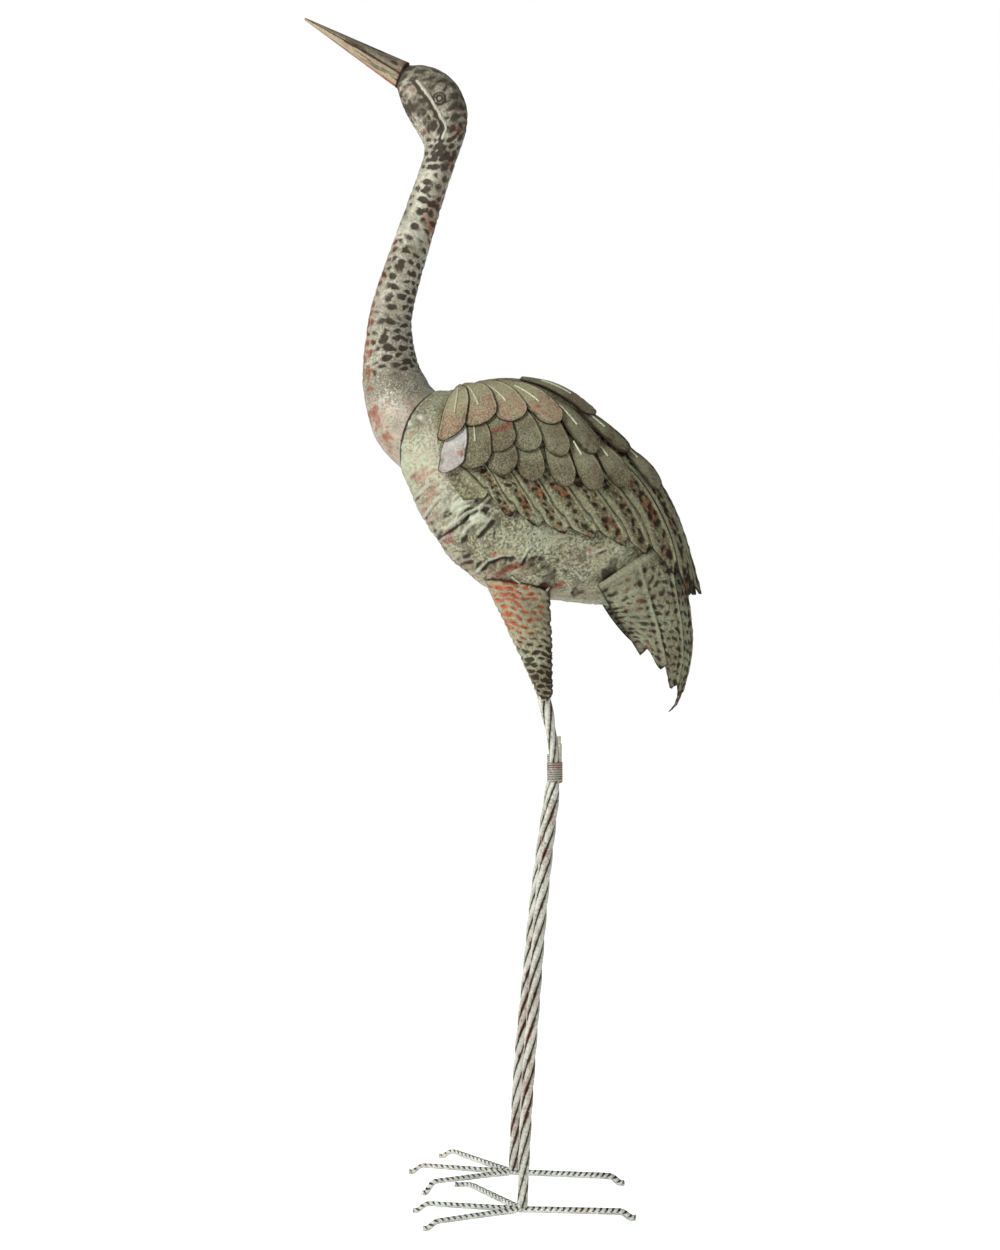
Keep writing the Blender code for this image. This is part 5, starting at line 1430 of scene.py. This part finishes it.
def strand_lines(path, radius):
    """The rods' own middle lines, wound about the path."""
    ahead = unit(np.gradient(path, axis=0))
    across = unit(np.cross((0.0, 1.0, 0.0), ahead))
    aside = np.cross(ahead, across)
    walked = np.append(0, np.cumsum(np.linalg.norm(np.diff(path, axis=0), axis=-1)))
    lines = []
    for k in range(STRANDS):
        spin = 2 * math.pi * (walked / STRAND_PITCH + k / STRANDS)
        out = across * np.cos(spin)[:, None] + aside * np.sin(spin)[:, None]
        lines.append(path + out * (radius - STRAND_THICKNESS / 2)[:, None])
    return lines


def strand_marks(path, radius):
    """Paint of a strand: dark where two rods meet, rust on the slopes, pale on the crests."""
    rod = STRAND_THICKNESS / 2
    aside = (radius - rod) * math.sqrt(0.5)
    valley = radius - aside - np.sqrt(rod**2 - aside**2)

    def marks(places):
        nearest = np.array([np.argmin(np.linalg.norm(path - place, axis=-1)) for place in places])
        inside = radius[nearest] - np.linalg.norm(path[nearest] - places, axis=-1)
        depth = inside / valley[nearest]
        groove = ease((depth - 0.30) / 0.45)
        brim = ease((depth - 0.08) / 0.36)
        stain = ease((rough(places * (1, 1, 0.35), 90.0, 111, 3) + 0.02) / 0.4)
        return {"dark": 1.0 * groove + 0.10 * stain, "rust": 0.8 * brim * (0.45 + 0.9 * stain),
                "pale": 0.6 * ease((0.26 - depth) / 0.26) * (1 - stain), "pink": 0.3 * stain}
    return marks


for name, side, foot_x, knee_x in (("left", 1, LEFT_FOOT_X, KNEE_X[0]),
                                   ("right", -1, RIGHT_FOOT_X, KNEE_X[1])):
    for part in ("upper", "lower"):
        path, radius = leg_path(side, foot_x, knee_x, part)
        radius = radius + FOOT_SPREAD * ease((FOOT_RISE[0] - path[:, 2]) / FOOT_RISE[1])
        grow(f"{name}_{part}_rods", rods, {"Thickness": STRAND_THICKNESS, "Sides": ROD_SIDES,
                                           "Finish": leg_patina},
             strand_lines(path, radius), [f"{name}_{part}_leg"], strand_marks(path, radius))
    stub = np.array([(knee_x + STUB[0], -side * STANCE / 2, KNEE_HEIGHT + h)
                     for h in np.linspace(-STUB_TUCK, STUB[1], 12)])
    grow(name + "_stub_rod", rods, {"Thickness": STUB[2], "Sides": ROD_SIDES, "Finish": leg_patina},
         [stub], [])


# Knee bindings
# Eight turns of iron wire round the strand at each knee, drawn tight side by
# side, their ends tucked under.
WIRE = 0.0021
WRAP_CLEAR = 0.0005
WRAP_TURNS = 8
WRAP_STEPS = 32          # to a turn
WIRE_SIDES = 12
STUB_ROOM = 1.10         # how far the wire swings out behind, round the stub rod
binding_patina = patina("binding_patina", (128, 124, 112), (160, 156, 142), (72, 62, 50),
                        (26, 20, 15), rust=(138, 78, 48), grain=620.0, speckle=0.6, blotch=0.35,
                        gloss=0.36, metallic=0.45, bump=0.5)


def wire_marks(middle):
    """Paint of the binding: dark between its turns."""
    def marks(places):
        out = np.linalg.norm((places - middle)[:, :2] * (0.95, 1.0), axis=-1)
        groove = ease((KNEE_RADIUS + WRAP_CLEAR + WIRE * 0.62 - out) / (WIRE * 0.4))
        stain = ease((rough(places, 90.0, 121, 2) - 0.1) / 0.4)
        return {"dark": groove, "rust": 0.8 * stain, "pale": 0.3 * (1 - groove)}
    return marks


for name, side, knee_x in (("left", 1, KNEE_X[0]), ("right", -1, KNEE_X[1])):
    knee = np.array((knee_x, -side * STANCE / 2, KNEE_HEIGHT))
    turns = np.linspace(0, 2 * math.pi * WRAP_TURNS, WRAP_STEPS * WRAP_TURNS + 1)
    reach = KNEE_RADIUS + WRAP_CLEAR + WIRE / 2
    coil = np.stack([reach * np.cos(turns) * np.where(np.cos(turns) > 0, STUB_ROOM, 1.0),
                     reach * np.sin(turns), WIRE * (turns / 2 / math.pi - WRAP_TURNS / 2)], -1)
    grow(name + "_knee_binding", rods, {"Thickness": WIRE * 0.98, "Sides": WIRE_SIDES,
                                        "Finish": binding_patina},
         [knee + coil], [name + "_knee_wrap"], wire_marks(knee))


# Toes
# Twisted square bar, four to a foot, welded at the hub under the leg and bent down
# to the ground at the tip. The mesh turns only a little, and dark slanting stripes
# on the upper face stand for the close twist.
TOE_SIDE = 0.0043
QUARTER_TURN = 0.5
STRIPE_SPACING = 0.0056
PROFILE_POINTS = 12
TOE_STEPS = 230
HUB_MITRE = 0.0032
HUB_GAP = 0.0002
RUSTY_TOES = ("right_toe_front", "right_toe_outer")
RUSTY_FROM = (0.064, 0.030)
TOE_TIP_RUN = 0.0150
TOE_KNUCKLE = 0.003
TOE_SINK = 0.85
UNDERPASS = 0.0040
OVERPASS = 0.0030
# heading from straight ahead, hub to bend, rise at the bend, heading of the bent-down end
TOES = {
    "left_toe_front": (9.4, 0.0877, 0.0, -9.0), "left_toe_outer": (-21.0, 0.0805, 0.0, -13.0),
    "left_toe_inner": (57.2, 0.0915, -UNDERPASS, 15.0),
    "left_toe_rear": (183.6, 0.0890, 0.0, 186.0),
    "right_toe_front": (12.0, 0.0907, 0.0, -7.0),
    "right_toe_inner": (-25.0, 0.0825, OVERPASS, -32.0),
    "right_toe_outer": (45.5, 0.0865, 0.0, 10.0), "right_toe_rear": (187.0, 0.0940, 0.0, 200.0)}


def twist_tree():
    """Square bar twisted along lines: sizes are its side and the length of a quarter turn."""
    tree, start, curves, skin = bar_tree("twisted_bar", (
        ("Side", "NodeSocketFloat"), ("Quarter Turn", "NodeSocketFloat")))
    upright = tree.nodes.new("GeometryNodeSetCurveNormal")
    upright.mode = "Z_UP"
    place = tree.nodes.new("GeometryNodeSplineParameter")
    ratio = tree.nodes.new("ShaderNodeMath")
    ratio.operation = "DIVIDE"
    turn = tree.nodes.new("ShaderNodeMath")
    turn.operation = "MULTIPLY"
    turn.inputs[1].default_value = math.pi / 2
    tilt = tree.nodes.new("GeometryNodeSetCurveTilt")
    square = tree.nodes.new("GeometryNodeCurvePrimitiveQuadrilateral")
    finer = tree.nodes.new("GeometryNodeResampleCurve")
    finer.inputs["Count"].default_value = PROFILE_POINTS
    for source, target in (
            (curves.outputs[0], upright.inputs[0]), (upright.outputs[0], tilt.inputs["Curve"]),
            (place.outputs["Length"], ratio.inputs[0]),
            (start.outputs["Quarter Turn"], ratio.inputs[1]), (ratio.outputs[0], turn.inputs[0]),
            (turn.outputs[0], tilt.inputs["Tilt"]), (start.outputs["Side"], square.inputs["Width"]),
            (start.outputs["Side"], square.inputs["Height"]),
            (square.outputs[0], finer.inputs["Curve"]), (tilt.outputs[0], skin.inputs["Curve"]),
            (finer.outputs[0], skin.inputs["Profile Curve"])):
        tree.links.new(source, target)
    return tree


def heading_of(angle):
    """Level direction of a heading: 0 is forwards, positive to the bird's right."""
    return np.array((-math.cos(math.radians(angle)), math.sin(math.radians(angle)), 0.0))


def toe_marks(path, rusty):
    """Paint of a toe: slanting stripes on its upper face, rust at the tip of a rusty one."""
    run_of_path = np.append(0, np.cumsum(np.linalg.norm(np.diff(path, axis=0), axis=-1)))

    def marks(places):
        nearest = np.array([np.argmin(np.linalg.norm(path - place, axis=-1)) for place in places])
        run, above = run_of_path[nearest], places[:, 2] - path[nearest, 2]
        upper = ease((above + 0.0006) / 0.0010)
        phase = (run - 0.9 * above) / STRIPE_SPACING
        phase = np.abs(phase - np.floor(phase) - 0.5) * 2
        tip = ease((run - RUSTY_FROM[0]) / RUSTY_FROM[1]) * rusty
        stain = ease((rough(places, 70.0, 131, 2) - 0.1) / 0.3)
        stripe = upper * ease((0.50 - phase) / 0.20)
        top_edge = np.exp(-((above - 0.0024) / 0.0005) ** 2)
        low_edge = np.exp(-((above + 0.0024) / 0.0004) ** 2)
        return {"dark": 1.3 * stripe * (1 - 0.4 * tip) + 0.35 * low_edge,
                "rust": 0.40 * stain * upper + 0.6 * tip * upper + 0.4 * top_edge,
                "pale": 0.55 * upper * (1 - stripe), "pink": 0.2 * stain}
    return marks


twist = twist_tree()
toe_patina = patina("toe_patina", (158, 166, 158), (200, 202, 194), (84, 62, 46), (20, 12, 8),
                    rust=(176, 92, 50), pink=(186, 160, 148), grain=620.0, speckle=0.45,
                    blotch=0.3, gloss=0.46, metallic=0.15, bump=0.5)
for name, (heading, reach, rise, tip_heading) in TOES.items():
    left = name.startswith("left")
    front_heading = TOES["left_toe_front" if left else "right_toe_front"][0]
    hub = np.array((LEFT_FOOT_X if left else RIGHT_FOOT_X, (-1 if left else 1) * STANCE / 2, 0.0))
    ahead, onward = heading_of(heading), heading_of(tip_heading)
    bend, low = TOE_HEIGHT + rise, TOE_ROD / 2 * TOE_SINK
    corner = hub + ahead * reach
    mitred = "front" not in name and "rear" not in name
    begin = HUB_GAP
    if mitred:
        begin = HUB_MITRE / math.sin(math.radians(abs(heading - front_heading)))
    line = [hub + ahead * begin + (0, 0, TOE_HEIGHT)]
    line += [hub + ahead * reach * share + (0, 0, TOE_HEIGHT + rise * share)
             for share in np.linspace(begin / reach + 0.05, 0.955, 12)]
    line += [corner + onward * TOE_KNUCKLE + (0, 0, bend + (low - bend) * 0.12),
             corner + onward * TOE_TIP_RUN * 0.7 + (0, 0, low),
             corner + onward * TOE_TIP_RUN + (0, 0, low)]
    path = along(line, np.linspace(0, 1, TOE_STEPS))
    grow(name + "_bar", twist, {"Side": TOE_SIDE, "Quarter Turn": QUARTER_TURN,
                                "Finish": toe_patina}, [path], [name],
         toe_marks(path, 1.0 if name in RUSTY_TOES else 0.0))

low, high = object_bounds()
